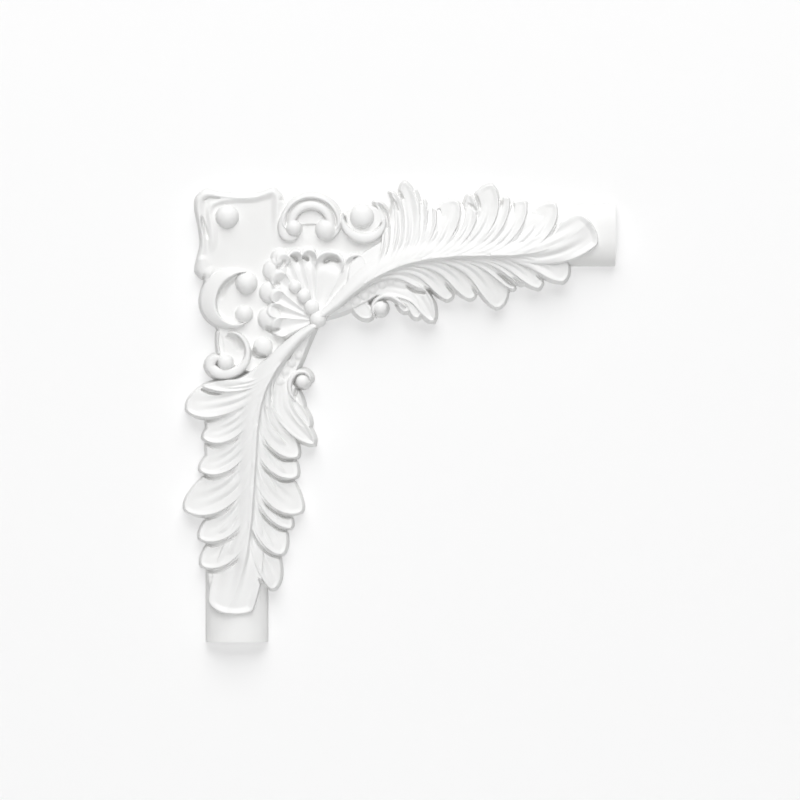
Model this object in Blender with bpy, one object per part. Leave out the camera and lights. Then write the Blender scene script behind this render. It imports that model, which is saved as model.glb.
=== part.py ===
"""Moulding corner: one cast relief joining two runs of panel moulding at a right angle.

Frame: +Z up, the wall is the plane y = 0 and the relief stands towards -Y. The origin is on the wall
where the centre lines of the two runs cross; the top run goes along +X and the side run along -Z.
The front is drawn as heights above the wall, in millimetres for a 44 mm run that stands 14 mm high, and
becomes metres when the mesh is made.
"""
from dataclasses import dataclass
from enum import Enum
from typing import Callable, List, Optional, Sequence, Tuple, Union

import bmesh
import bpy
import numpy as np


# driving sizes in millimetres; everything else is drawn for a 44 mm run that stands 14 mm high
RUN_WIDTH = 44.0            # the panel moulding that the piece continues
RUN_HEIGHT = 14.0
ARM_LENGTH = 264.5          # from the crossing of the centre lines to the square end of the top run
DROP_LENGTH = 284.5         # and to the square end of the side run

MM = 0.001
DRAWN = RUN_WIDTH / 44.0            # real width for each drawn millimetre
DRAWN_DEPTH = RUN_HEIGHT / 14.0     # real depth for each drawn millimetre
BELOW = -3.0                        # drawn level outside the carving, behind the wall
ORNAMENT_REACH = 46.0               # drawn room for the ornament outside the crossing of the centre lines
END_ROOM = 7.5                      # drawn room past each square end

Point = Tuple[float, float]
Grid = np.ndarray


def smooth(t: Grid) -> Grid:
    """Eased step from 0 to 1.

    Args:
        t: Values, where 0 to 1 is the step.

    Returns:
        The eased values.
    """
    t = np.clip(t, 0.0, 1.0)
    return t * t * (3.0 - 2.0 * t)


def curve(points: Sequence[Point], count: int = 36) -> Grid:
    """Smooth curve through a few points.

    Args:
        points: What the curve passes through.
        count: How many steps it is cut into.

    Returns:
        The curve's points, one a row.
    """
    p = np.asarray(points, float)
    p = np.vstack([2 * p[0] - p[1], p, 2 * p[-1] - p[-2]])
    spans = len(p) - 3
    t = np.linspace(0, spans, count + 1)
    i = np.minimum(t.astype(int), spans - 1)
    f = (t - i)[:, None]
    a, b, c, d = p[i], p[i + 1], p[i + 2], p[i + 3]
    return 0.5 * (2 * b + (c - a) * f + (2 * a - 5 * b + 4 * c - d) * f**2 + (3 * b - a - 3 * c + d) * f**3)


def along(values: Sequence[float], t: Grid) -> Grid:
    """Values spaced evenly along a line, read where they are needed.

    Args:
        values: The values from the line's start to its end.
        t: Shares of the line's length.

    Returns:
        The values there, with smooth joins.
    """
    v = np.asarray(values, float)
    if len(v) == 1:
        return np.full_like(t, v[0])
    c = curve(np.column_stack([np.linspace(0, 1, len(v)), v]), 80)
    return np.interp(t, c[:, 0], c[:, 1])


def bend(a: Grid, b: Grid, c: Grid, d: Grid, count: int = 36) -> Grid:
    """Cubic bend between two ends, with its points closer together towards its end.

    Args:
        a: Start.
        b: Handle leaving the start.
        c: Handle reaching the end.
        d: End.
        count: How many steps it is cut into.

    Returns:
        The bend's points, one a row.
    """
    t = (1 - (1 - np.linspace(0, 1, count + 1)) ** 1.8)[:, None]
    return (1 - t) ** 3 * a + 3 * (1 - t) ** 2 * t * b + 3 * (1 - t) * t * t * c + t**3 * d


def heading(degrees: float) -> Grid:
    """Unit step in a direction, 0 along the top run and 90 upwards."""
    r = np.radians(degrees)
    return np.array([np.cos(r), np.sin(r)])


def arc(cx: float, cz: float, r: float, start: float, end: float, count: int = 14) -> List[Point]:
    """Points on an arc.

    Args:
        cx: Centre across.
        cz: Centre up.
        r: Radius.
        start: First heading in degrees.
        end: Last heading.
        count: How many points.

    Returns:
        The points in order.
    """
    a = np.radians(np.linspace(start, end, count))
    return [(cx + r * np.cos(k), cz + r * np.sin(k)) for k in a]


def ribbon(line: Grid, half: Grid) -> Grid:
    """Outline of a strip of that half width about a line."""
    d = np.gradient(line, axis=0)
    d /= np.maximum(np.hypot(*d.T), 1e-9)[:, None]
    n = np.column_stack([-d[:, 1], d[:, 0]])
    return np.vstack([line + n * half[:, None], (line - n * half[:, None])[::-1]])


def depth_inside(outline: Grid, gx: Grid, gz: Grid) -> Grid:
    """How far points lie inside a closed outline.

    Args:
        outline: The outline's corners.
        gx: Points across.
        gz: Points up.

    Returns:
        Distances, negative outside.
    """
    best = np.full(gx.shape, 1e9)
    within = np.zeros(gx.shape, bool)
    for (ax, az), (bx, bz) in zip(outline, np.roll(outline, -1, axis=0)):
        ex, ez = bx - ax, bz - az
        size = ex * ex + ez * ez
        if size < 1e-12:
            continue
        wx, wz = gx - ax, gz - az
        t = np.clip((wx * ex + wz * ez) / size, 0, 1)
        best = np.minimum(best, (wx - t * ex) ** 2 + (wz - t * ez) ** 2)
        if az != bz:
            within ^= ((az > gz) != (bz > gz)) & (gx < ex * (gz - az) / (bz - az) + ax)
    d = np.sqrt(best)
    return np.where(within, d, -d)


def place_on(line: Grid, gx: Grid, gz: Grid) -> Tuple[Grid, Grid]:
    """Where points lie beside a line.

    Args:
        line: The line's points.
        gx: Points across.
        gz: Points up.

    Returns:
        The share of the line's length that each is nearest to, and how far to the line's left it lies.
    """
    step = np.diff(line, axis=0)
    length = np.hypot(*step.T)
    run = np.concatenate([[0], np.cumsum(length)])
    best = np.full(gx.shape, 1e9)
    t = np.zeros(gx.shape)
    off = np.zeros(gx.shape)
    for k in range(len(step)):
        if length[k] < 1e-9:
            continue
        wx, wz = gx - line[k, 0], gz - line[k, 1]
        f = np.clip((wx * step[k, 0] + wz * step[k, 1]) / length[k] ** 2, 0, 1)
        dx, dz = wx - f * step[k, 0], wz - f * step[k, 1]
        d = dx * dx + dz * dz
        nearer = d < best
        best = np.where(nearer, d, best)
        t = np.where(nearer, (run[k] + f * length[k]) / run[-1], t)
        side = step[k, 0] * wz - step[k, 1] * wx
        off = np.where(nearer, np.sign(side) * np.sqrt(d), off)
    return t, off


@dataclass(frozen=True)
class Draft:
    """How the caster's mould lets an edge go.

    Attributes:
        slope: Rise over run of every cut edge.
        inset: How far a top edge lies inside the outline that it casts on the wall.
        soft: Radius over the top edge.
    """

    slope: float = 6.0
    inset: float = 1.6
    soft: float = 1.3

    def edge(self, surface: Grid, inside: Grid, soft: Optional[float] = None,
             slope: Optional[float] = None) -> Grid:
        """Rounds a surface over its outline and drops it outside.

        Args:
            surface: Heights of the face.
            inside: Distances inside the outline.
            soft: Another radius over the edge.
            slope: Another draft.

        Returns:
            The heights with the edge cut.
        """
        r = self.soft if soft is None else soft
        inside = inside - self.inset
        k = np.clip(1 - inside / r, 0, 1)
        drop = r * (1 - np.sqrt(1 - k * k * 0.94))
        return surface - drop - (slope or self.slope) * np.maximum(-inside, 0)


class Relief:
    """Heights above the wall, in drawn millimetres, over a grid of the piece's front."""

    def __init__(self, pitch: float) -> None:
        """Starts an empty field that reaches a little past both ends.

        Args:
            pitch: Spacing of the grid.
        """
        low: Point = (-ORNAMENT_REACH, -DROP_LENGTH / DRAWN - END_ROOM)
        high: Point = (ARM_LENGTH / DRAWN + END_ROOM, ORNAMENT_REACH)
        self.pitch = pitch
        self.draft = Draft()
        self.xs: Grid = pitch * np.arange(np.floor(low[0] / pitch), np.ceil(high[0] / pitch) + 1)
        self.zs: Grid = pitch * np.arange(np.floor(low[1] / pitch), np.ceil(high[1] / pitch) + 1)
        self.height: Grid = np.full((len(self.zs), len(self.xs)), BELOW)
        self.cuts: List[Tuple[List[Grid], Tuple[float, ...], float]] = []

    def window(self, points: Grid, margin: float = 6.0) -> Tuple[Tuple[slice, slice], Grid, Grid]:
        """The part of the grid about some points.

        Args:
            points: What it has to hold.
            margin: Room left about them.

        Returns:
            Its slices, and its points across and up.
        """
        lo, hi = np.min(points, 0) - margin, np.max(points, 0) + margin
        i = slice(max(0, int(np.searchsorted(self.xs, lo[0]))), int(np.searchsorted(self.xs, hi[0])))
        j = slice(max(0, int(np.searchsorted(self.zs, lo[1]))), int(np.searchsorted(self.zs, hi[1])))
        gx, gz = np.meshgrid(self.xs[i], self.zs[j])
        return (j, i), gx, gz

    def lay(self, where: Tuple[slice, slice], surface: Grid, blend: Union[float, Grid] = 0.4) -> None:
        """Lays a surface over what is there; the higher one shows, with a soft join.

        Args:
            where: The part of the grid.
            surface: Its heights.
            blend: Softness of the join.
        """
        old = self.height[where]
        gap = np.maximum(blend - np.abs(old - surface), 0) / np.maximum(blend, 1e-6)
        self.height[where] = np.maximum(old, surface) + gap * gap * blend / 4

    def tongue(self, spine: Sequence[Point], half: Sequence[float], high: Sequence[float], rim: float = 1.4,
               crest: float = 2.0, vein: float = 0.0, tip: float = 0.3) -> None:
        """A dished tongue with a raised rim, rounded at its tip.

        Args:
            spine: The points it runs through, from root to tip.
            half: Its half width along them.
            high: Its height along them.
            rim: Rise of the rim.
            crest: How far in the rim reaches.
            vein: Depth of a groove down the middle.
            tip: Share of the length that rounds off.
        """
        line = curve(spine)
        t = np.linspace(0, 1, len(line))
        over = np.clip((t - 1 + tip) / tip, 0, 1)
        width = along(half, t) * np.sqrt(np.maximum(1 - over**2.2, 0)) + 0.02
        outline = ribbon(line, width)
        where, gx, gz = self.window(outline)
        inside = depth_inside(outline, gx, gz)
        s_t, off = place_on(line, gx, gz)
        s = np.clip(off / np.maximum(along(half, s_t), 0.8), -1.3, 1.3)
        grown = smooth((s_t - 0.12) / 0.35)
        surface = along(high, s_t) + rim * grown * (1 - smooth((inside - crest * 0.6) / (crest * 1.4)))
        surface -= vein * grown * np.exp(-((s / 0.2) ** 2)) * smooth((inside - crest * 0.5) / 2.0)
        self.lay(where, self.draft.edge(surface, inside))

    def band(self, path: Sequence[Point], half: Sequence[float], high: Sequence[float],
             section: Callable[[Grid], Grid], blend: float = 0.4, ends: Tuple[float, float] = (0.06,
                                                                                               0.06)) -> None:
        """A scroll's band, winding along a path.

        Args:
            path: The points it runs through.
            half: Its half width along them.
            high: Its height along them.
            section: Rise across it, from -1 on the path's right to 1 on its left.
            blend: Softness of its join with what is under it.
            ends: Shares of the length that round off.
        """
        line = curve(path, 60)
        t = np.linspace(0, 1, len(line))
        cap = np.minimum(1, np.minimum(t / max(ends[0], 1e-6), (1 - t) / max(ends[1], 1e-6)))
        width = along(half, t) * np.sqrt(np.maximum(1 - (1 - cap) ** 2, 0)) + 0.02
        where, gx, gz = self.window(ribbon(line, width))
        s_t, off = place_on(line, gx, gz)
        w = np.maximum(np.interp(s_t, t, width), 0.05)
        s = np.clip(off / np.maximum(w, 0.5), -1, 1)
        surface = along(high, s_t) + section(s)
        self.lay(where, self.draft.edge(surface, w - np.abs(off), 0.9), blend)

    def plate(self, outline: Sequence[Point], high: float, soft: float = 1.0, blend: float = 0.4) -> None:
        """A flat field with a smooth outline.

        Args:
            outline: The points its outline runs through.
            high: Its height.
            soft: Radius over its edge.
            blend: Softness of its join.
        """
        p = curve(list(outline) + [outline[0]], 90)[:-1]
        where, gx, gz = self.window(p)
        inside = depth_inside(p, gx, gz)
        self.lay(where, self.draft.edge(np.full(gx.shape, float(high)), inside, soft), blend)

    def ball(self, centre: Point, radius: float, seat: float, flat: float = 0.8,
             blend: float = 0.25) -> None:
        """A round boss.

        Args:
            centre: Where it stands.
            radius: Its radius.
            seat: Height of its rim.
            flat: Its rise for each millimetre of radius.
            blend: Softness of its join.
        """
        c = np.asarray(centre, float)
        where, gx, gz = self.window(c[None], radius + 2)
        d = np.hypot(gx - c[0], gz - c[1])
        dome = seat + flat * np.sqrt(np.maximum(radius**2 - d**2, 0)) - 6 * np.maximum(d - radius, 0)
        self.lay(where, np.where(d < radius + 1.5, dome, BELOW), blend)

    def pit(self, spine: Sequence[Sequence[float]], half: Sequence[float], deep: float, taper: float = 0.0,
            taper_last: Optional[float] = None) -> None:
        """A hollow cut along a short line.

        Args:
            spine: The line's points.
            half: Its half width along them.
            deep: Its depth on the line.
            taper: Share of its length over which it starts.
            taper_last: Share over which it runs out, the same if none is given.
        """
        line = curve([tuple(p) for p in spine], 5 * len(spine))
        where, gx, gz = self.window(line, max(half) + 3)
        s_t, off = place_on(line, gx, gz)
        d = np.abs(off) / np.maximum(along(half, s_t), 0.1)
        last = taper if taper_last is None else taper_last
        full = (smooth(s_t / taper) if taper else 1.0) * (smooth((1 - s_t) / last) if last else 1.0)
        self.height[where] -= deep * full * (1 - smooth(d)) * (self.height[where] > 0)

    def swell(self, spine: Sequence[Sequence[float]], half: Sequence[float], rise: float) -> None:
        """A soft ridge raised along a line, out of what is there."""
        self.pit(spine, half, -rise, 0.2)

    def cut_later(self, spine: List[Grid], half: Tuple[float, ...], deep: float) -> None:
        """Keeps a hollow to be cut when all the surfaces are laid."""
        self.cuts.append((spine, half, deep))

    def make_cuts(self) -> None:
        """Cuts the hollows that were kept."""
        for spine, half, deep in self.cuts:
            self.pit(spine, half, deep, 0.3, 0.0)
        self.cuts = []


def roll(rise: float) -> Callable[[Grid], Grid]:
    """A section that bulges in its middle."""
    return lambda s: rise * (1 - s * s)


def lipped(rise: float, crest: float = 0.72) -> Callable[[Grid], Grid]:
    """A section with its lip on the path's left.

    Args:
        rise: Rise of the lip.
        crest: Where the lip stands across the band.

    Returns:
        The section, falling over a convex back to the right.
    """
    def section(s: Grid) -> Grid:
        """Rise across the band."""
        outer = np.clip((crest - s) / (1 + crest), 0, 1)
        inner = np.clip((s - crest) / (1 - crest), 0, 1)
        return rise * (1 - outer**1.6) - 0.8 * rise * inner**1.5
    return section


class Arm(Enum):
    """The two runs that the leaves lie on."""

    TOP = "top"
    SIDE = "side"


@dataclass(frozen=True)
class Lobe:
    """One lobe of a long leaf.

    Attributes:
        root: Where it leaves the midrib, measured along its arm.
        tip: Where it ends.
        aim: Heading of its tip in degrees.
        half: Its half width on its free side, where its edge lies over the next lobe.
        free: Which edge is free: 1 for the one towards the leaf's end, -1 for the one towards its root.
        tuck: How many half widths it reaches under its neighbour on its other side.
        lead: How long it keeps to the midrib before it turns out.
        hook: How long it keeps its last heading.
        rise: Rise from its middle to its free edge.
        rim: Rise of the rim round its tip.
        dish: Depth of its hollow.
        lift: How far it stands above its neighbours.
        flutes: Place across it, depth and width of each long groove in it.
        rounding: Share of its length that rounds off into the tip.
        eye: Share of its length at which the cleft beside its free edge starts, or 0 for none.
        cleft: Half width and depth of that cleft.
    """

    root: float
    tip: Point
    aim: float
    half: float
    free: int = 1
    tuck: float = 1.9
    lead: float = 0.55
    hook: float = 0.3
    rise: float = 1.8
    rim: float = 0.8
    dish: float = 1.0
    lift: float = 0.0
    flutes: Tuple[Tuple[float, float, float], ...] = ((-1.05, 1.1, 0.24), (-0.42, 1.8, 0.22),
                                                      (0.22, 1.3, 0.18))
    rounding: float = 0.3
    eye: float = 0.6
    cleft: Tuple[float, float] = (1.5, 4.2)


@dataclass(frozen=True)
class LongLeaf:
    """One of the two long acanthus leaves that the plain runs come out of.

    Attributes:
        arm: The run it lies on.
        rib: What its midrib passes through.
        body: Outline of its body under the lobes, out to the eyes between them.
        lobes: Its lobes, each lying over the one before.
        crown: Height of its face along the midrib.
        fall: Fall of its face to both sides.
        step: Step down on the side that faces the inside of the corner.
        hollows: Further hollows beside its lobes, as points, half widths and depth.
        rib_half: Half width of the midrib along it.
        rib_rise: Rise of the midrib along it.
    """

    arm: Arm
    rib: Tuple[Point, ...]
    body: Tuple[Point, ...]
    lobes: Tuple[Lobe, ...]
    hollows: Tuple[Tuple[Tuple[Point, ...], Tuple[float, ...], float], ...] = ()
    crown: Tuple[float, ...] = (20.0, 20.5, 20.0, 19.6, 19.2, 18.8, 18.0, 17.0)
    fall: float = 0.22
    step: float = 2.4
    rib_half: Tuple[float, ...] = (1.6, 3.6, 5.0, 4.6, 3.6, 3.0, 2.4, 2.0)
    rib_rise: Tuple[float, ...] = (1.0, 1.3, 1.2, 0.9, 0.7, 0.5, 0.2, 0.0)

    def midrib(self) -> Grid:
        """The midrib's line."""
        return curve(self.rib, 120)

    def at(self, root: float) -> Tuple[Grid, Grid]:
        """Where a lobe leaves the midrib.

        Args:
            root: Distance along the arm.

        Returns:
            The point there, and the midrib's direction.
        """
        line = self.midrib()
        run = line[:, 0] if self.arm is Arm.TOP else -line[:, 1]
        k = int(np.clip(np.searchsorted(run, root), 1, len(run) - 2))
        d = line[k + 1] - line[k - 1]
        return line[k], d / np.hypot(*d)

    def face(self, gx: Grid, gz: Grid) -> Grid:
        """The leaf's own surface: high along the midrib, falling away to both sides.

        Args:
            gx: Points across.
            gz: Points up.

        Returns:
            Its heights.
        """
        t, off = place_on(self.midrib(), gx, gz)
        inner = -1.0 if self.arm is Arm.TOP else 1.0
        step = self.step * smooth((off * inner - 0.3) / 1.3) * (1 - smooth((t - 0.62) / 0.2))
        return along(self.crown, t) - self.fall * np.abs(off) + 0.0012 * off * off - step

    def carve_body(self, relief: Relief) -> None:
        """Lays the body that the lobes lie on."""
        p = curve(self.body + self.body[:1], 150)[:-1]
        where, gx, gz = relief.window(p)
        inside = depth_inside(p, gx, gz)
        relief.lay(where, relief.draft.edge(self.face(gx, gz) - 2.0, inside, 1.2), 0.4)

    def carve_lobe(self, relief: Relief, lobe: Lobe) -> None:
        """Lays one lobe: a round strand at the midrib that opens into a fluted, rimmed spoon.

        Args:
            relief: The field it is laid in.
            lobe: Its sizes.
        """
        start, way = self.at(lobe.root)
        tip = np.asarray(lobe.tip, float)
        reach = float(np.hypot(*(tip - start)))
        line = bend(start, start + way * lobe.lead * reach, tip - heading(lobe.aim) * lobe.hook * reach,
                    tip)
        run = np.concatenate([[0], np.cumsum(np.hypot(*np.diff(line, axis=0).T))])
        t = run / run[-1]
        step = np.gradient(line, axis=0)
        left = np.column_stack([-step[:, 1], step[:, 0]]) / np.maximum(np.hypot(*step.T), 1e-9)[:, None]
        middle = len(line) // 2
        side = float(np.sign(way @ left[middle])) * lobe.free

        over = np.clip((t - 1 + lobe.rounding) / lobe.rounding, 0, 1)
        cap = np.sqrt(np.maximum(1 - over**2.3, 0))
        halves = (2.4, 1.0 + 0.6 * lobe.half, lobe.half, 0.98 * lobe.half)
        tucks = (1.0, 0.5 + 0.5 * lobe.tuck, lobe.tuck, lobe.tuck, 0.1 + 0.85 * lobe.tuck,
                 0.2 + 0.7 * lobe.tuck)
        free_half = along(halves, t) * cap + 0.02
        other_half = along(halves, t) * along(tucks, t) * cap + 0.02
        to_free, to_other = left * side * free_half[:, None], -left * side * other_half[:, None]
        outline = np.vstack([line + to_free, (line + to_other)[::-1]])

        where, gx, gz = relief.window(outline)
        inside = depth_inside(outline, gx, gz)
        s_t, off = place_on(line, gx, gz)
        s = np.clip(off * side / np.maximum(along(halves, s_t), 1.0), -2.4, 1.2)
        opened = smooth((s_t - 0.48) / 0.34)
        within = np.clip(s, -1, 1)
        surface = self.face(gx, gz) + lobe.lift + 0.8 * (1 - within**2) * (1 - opened)
        surface += opened * (lobe.rise * s - lobe.dish * (1 - within**2))
        crest = 2.0 + 0.16 * lobe.half
        surface += lobe.rim * opened * (1 - smooth((inside - relief.draft.inset) / crest)) * smooth((s + 1.0) / 0.8)
        kept = smooth((s_t - 0.1) / 0.25) * (1 - smooth((s_t - 0.55) / 0.38))
        for place, deep, wide in lobe.flutes:
            surface -= deep * kept * np.exp(-(((s - place) / wide) ** 2))
        relief.lay(where, relief.draft.edge(surface, inside, 0.8),
                   0.25 + 1.6 * (1 - smooth((s_t - 0.2) / 0.35)))
        self.keep_cleft(relief, lobe, t, line, to_free, to_other)

    def keep_cleft(self, relief: Relief, lobe: Lobe, t: Grid, line: Grid, free: Grid, other: Grid) -> None:
        """Keeps a lobe's cleft for when every lobe is laid.

        Args:
            relief: The field they are cut in.
            lobe: The lobe's sizes.
            t: Shares of its middle line's length.
            line: The middle line.
            free: From the line to its free edge.
            other: From the line to its other edge.
        """
        def spot(share: float, across: float, beyond: float = 0.0) -> Grid:
            """A point beside the line."""
            k = int(np.clip(np.searchsorted(t, share), 1, len(line) - 2))
            way = free[k] if across > 0 else other[k]
            return line[k] + way * (abs(across) + beyond / max(float(np.hypot(*way)), 1e-6))

        if lobe.eye:
            shares = np.linspace(lobe.eye, 0.98, 5)
            wide, deep = lobe.cleft
            beyond = (0.36, 0.54, 0.66, 0.72, 0.6)
            cleft = [spot(share, 1.0, wide * past) for share, past in zip(shares, beyond)]
            relief.cut_later(cleft, (0.5 * wide, 0.85 * wide, wide, wide, 0.9 * wide), deep)

    def carve_rib(self, relief: Relief) -> None:
        """Lays the midrib over the lobes' roots."""
        line = self.midrib()
        where, gx, gz = relief.window(line, 14)
        t, off = place_on(line, gx, gz)
        half = along(self.rib_half, t)
        outer = -1.0 if self.arm is Arm.SIDE else 1.0
        u = (off * outer - half) / half
        crown = self.face(gx, gz) + along(self.rib_rise, t) * (1 - u**2) - 14.0 * smooth((t - 0.74) / 0.18)
        relief.lay(where, np.where((np.abs(u) < 1.6) & (t < 0.94), crown, BELOW), 1.4)

    def carve(self, relief: Relief) -> None:
        """Lays the whole leaf."""
        self.carve_body(relief)
        for lobe in self.lobes:
            self.carve_lobe(relief, lobe)
        self.carve_rib(relief)
        for line, half, deep in self.hollows:
            relief.cut_later([np.array(point) for point in line], half, deep)


def top_leaf() -> LongLeaf:
    """The long leaf on the top run."""
    rib = ((60, -58), (70, -51), (80, -42.5), (90, -34.5), (100, -28.5), (112, -23), (125, -19),
           (140, -16.5),
           (160, -15), (190, -14.5), (210, -12), (226, -6), (238, 2), (246, 9), (260, 21))
    body = ((60, -57), (74, -40), (78, -20), (90, -10), (103, 0), (108, 22), (118, 28), (127, 20),
            (133, 15),
            (141, 13), (150, 17), (158, 19), (168, 26), (177, 24), (188, 19), (205, 18.5), (222, 16),
            (233, 12),
            (242, 4), (236, -9), (228, -19), (215, -29), (200, -32), (191, -37), (184, -42), (171, -42),
            (153, -38),
            (139, -36), (122, -30), (106, -28), (92, -34), (76, -46))
    upper = (
        Lobe(88, (94.5, 22.5), 190, 4.4, lead=0.5, hook=0.2, rounding=0.2, rise=0.6, tuck=1.0, eye=0.8),
        Lobe(94, (105.5, 29.5), 195, 4.8, lead=0.5, hook=0.16, rise=0.6, tuck=1.0, eye=0.82),
        Lobe(97, (117, 38.2), 98, 7.6, hook=0.35, rise=0.6, tuck=1.2, eye=0.8),
        Lobe(100, (125, 32.5), 84, 5.0, hook=0.4, lift=-0.3, tuck=1.5, eye=0.8),
        Lobe(103, (131, 25.5), 80, 5.4, hook=0.4, lift=-0.3, tuck=1.5, eye=0.72),
        Lobe(107, (139, 19.5), 60, 6.4, lift=-0.2, eye=0.7),
        Lobe(118, (155, 24.0), 55, 8.0),
        Lobe(126, (161.5, 29), 108, 6.4, tuck=1.2, eye=0.8),
        Lobe(133, (177, 36.3), 92, 8.6, rise=0.8, eye=0.75),
        Lobe(142, (189.5, 27), 68, 6.6, lift=-0.3, tuck=1.6, eye=0.75),
        Lobe(154, (202, 24.2), 60, 7.2),
        Lobe(172, (222.5, 22.6), 62, 8.0, eye=0.66),
    )
    end = (
        Lobe(180, (249.5, 7.5), 34, 15.2, tuck=1.0, rise=0.4, rim=1.8, dish=1.6, lift=0.1, rounding=0.12,
             eye=0,
             lead=0.5, hook=0.3, flutes=((-0.5, 1.3, 0.16), (-0.05, 1.2, 0.14), (0.4, 1.3, 0.14))),
    )
    lower = (
        Lobe(172, (230, -33.4), -48, 8.4, free=-1, cleft=(1.9, 4.8)),
        Lobe(154, (212.5, -38.4), -50, 7.0, free=-1, cleft=(1.9, 4.8)),
        Lobe(146, (201, -36.4), -60, 6.2, free=-1, cleft=(1.9, 4.8)),
        Lobe(136, (194.5, -39.4), -50, 5.6, free=-1, lift=-0.4, eye=0),
        Lobe(128, (183, -52.8), -74, 8.6, free=-1, cleft=(1.9, 4.8)),
        Lobe(112, (164.5, -46.4), -68, 8.0, free=-1, cleft=(1.9, 4.8)),
        Lobe(100, (148, -47.2), -74, 7.4, free=-1, cleft=(1.9, 4.8)),
        Lobe(90, (134, -39.5), -58, 6.8, free=-1, cleft=(1.9, 4.8)),
        Lobe(80, (123, -34), -45, 4.6, free=-1, lift=-1.2, eye=0),
    )
    hollows = (
        (((97.4, 22.0), (102.0, 18.4), (105.0, 12.0), (105.6, 5.0)), (1.4, 2.0, 1.6, 0.9), 3.6),
        (((104.8, 26.8), (109.6, 23.4), (112.6, 17.0)), (1.2, 1.7, 0.9), 3.0),
        (((160.0, 22.4), (166.0, 18.0), (168.4, 10.0)), (1.2, 1.6, 0.8), 2.2),
    )
    return LongLeaf(Arm.TOP, rib, body, upper + end + lower, hollows)


def side_leaf() -> LongLeaf:
    """The long leaf on the side run."""
    rib = ((54, -66), (45, -73.5), (36, -83.5), (28, -94), (22, -104.5), (18, -115), (15.5, -127),
           (14, -141),
           (13, -158), (11.5, -180), (9.5, -205), (6, -228), (0, -248), (-6, -262), (-12, -280))
    body = ((54, -64), (38, -76), (20, -86), (4, -98), (-16, -103), (-24, -112), (-24, -126), (-22.5, -134),
            (-23, -148), (-22, -160), (-23, -172), (-26, -184), (-23, -200), (-22, -211), (-22.5, -221),
            (-21.5, -239), (-18, -252), (-8, -259), (4, -257), (13, -248), (18, -240), (25, -228),
            (30, -211), (33, -203),
            (38, -190), (35, -176), (36, -165), (34, -152), (28, -138), (26, -122), (26, -110), (36, -90),
            (48, -74))
    outer = (
        Lobe(88, (-25, -106.0), 182, 4.4, eye=0.75, tuck=1.3),
        Lobe(92, (-36.5, -121.5), 186, 9.6, lead=0.45),
        Lobe(104, (-24.8, -141.0), 176, 7.4),
        Lobe(118, (-27.2, -163.0), 176, 7.8),
        Lobe(136, (-38.0, -190.0), 182, 10.4),
        Lobe(156, (-27.6, -211), 186, 8.6),
        Lobe(176, (-26.4, -230), 190, 8.6),
    )
    end = (
        Lobe(172, (-6.0, -266.0), 262, 18.4, tuck=1.0, rise=0.4, rim=1.8, dish=1.6, lift=0.0, rounding=0.1,
             eye=0,
             lead=0.5, hook=0.25, flutes=((-0.6, 1.3, 0.14), (-0.15, 1.3, 0.13), (0.3, 1.3, 0.13))),
    )
    inner = (
        Lobe(94, (24, -123.4), -84, 5.4, lift=-0.6, eye=0, tuck=1.0),
        Lobe(100, (44.5, -155), -22, 7.6),
        Lobe(112, (44, -168.5), -18, 8.4),
        Lobe(130, (47.6, -192.5), -14, 9.4),
        Lobe(142, (39.5, -205.5), -35, 6.6, lift=-0.4),
        Lobe(158, (33.2, -224), -50, 8.2),
        Lobe(180, (25.5, -249), -80, 7.0, eye=0.8),
    )
    return LongLeaf(Arm.SIDE, rib, body, outer + end + inner)


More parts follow.
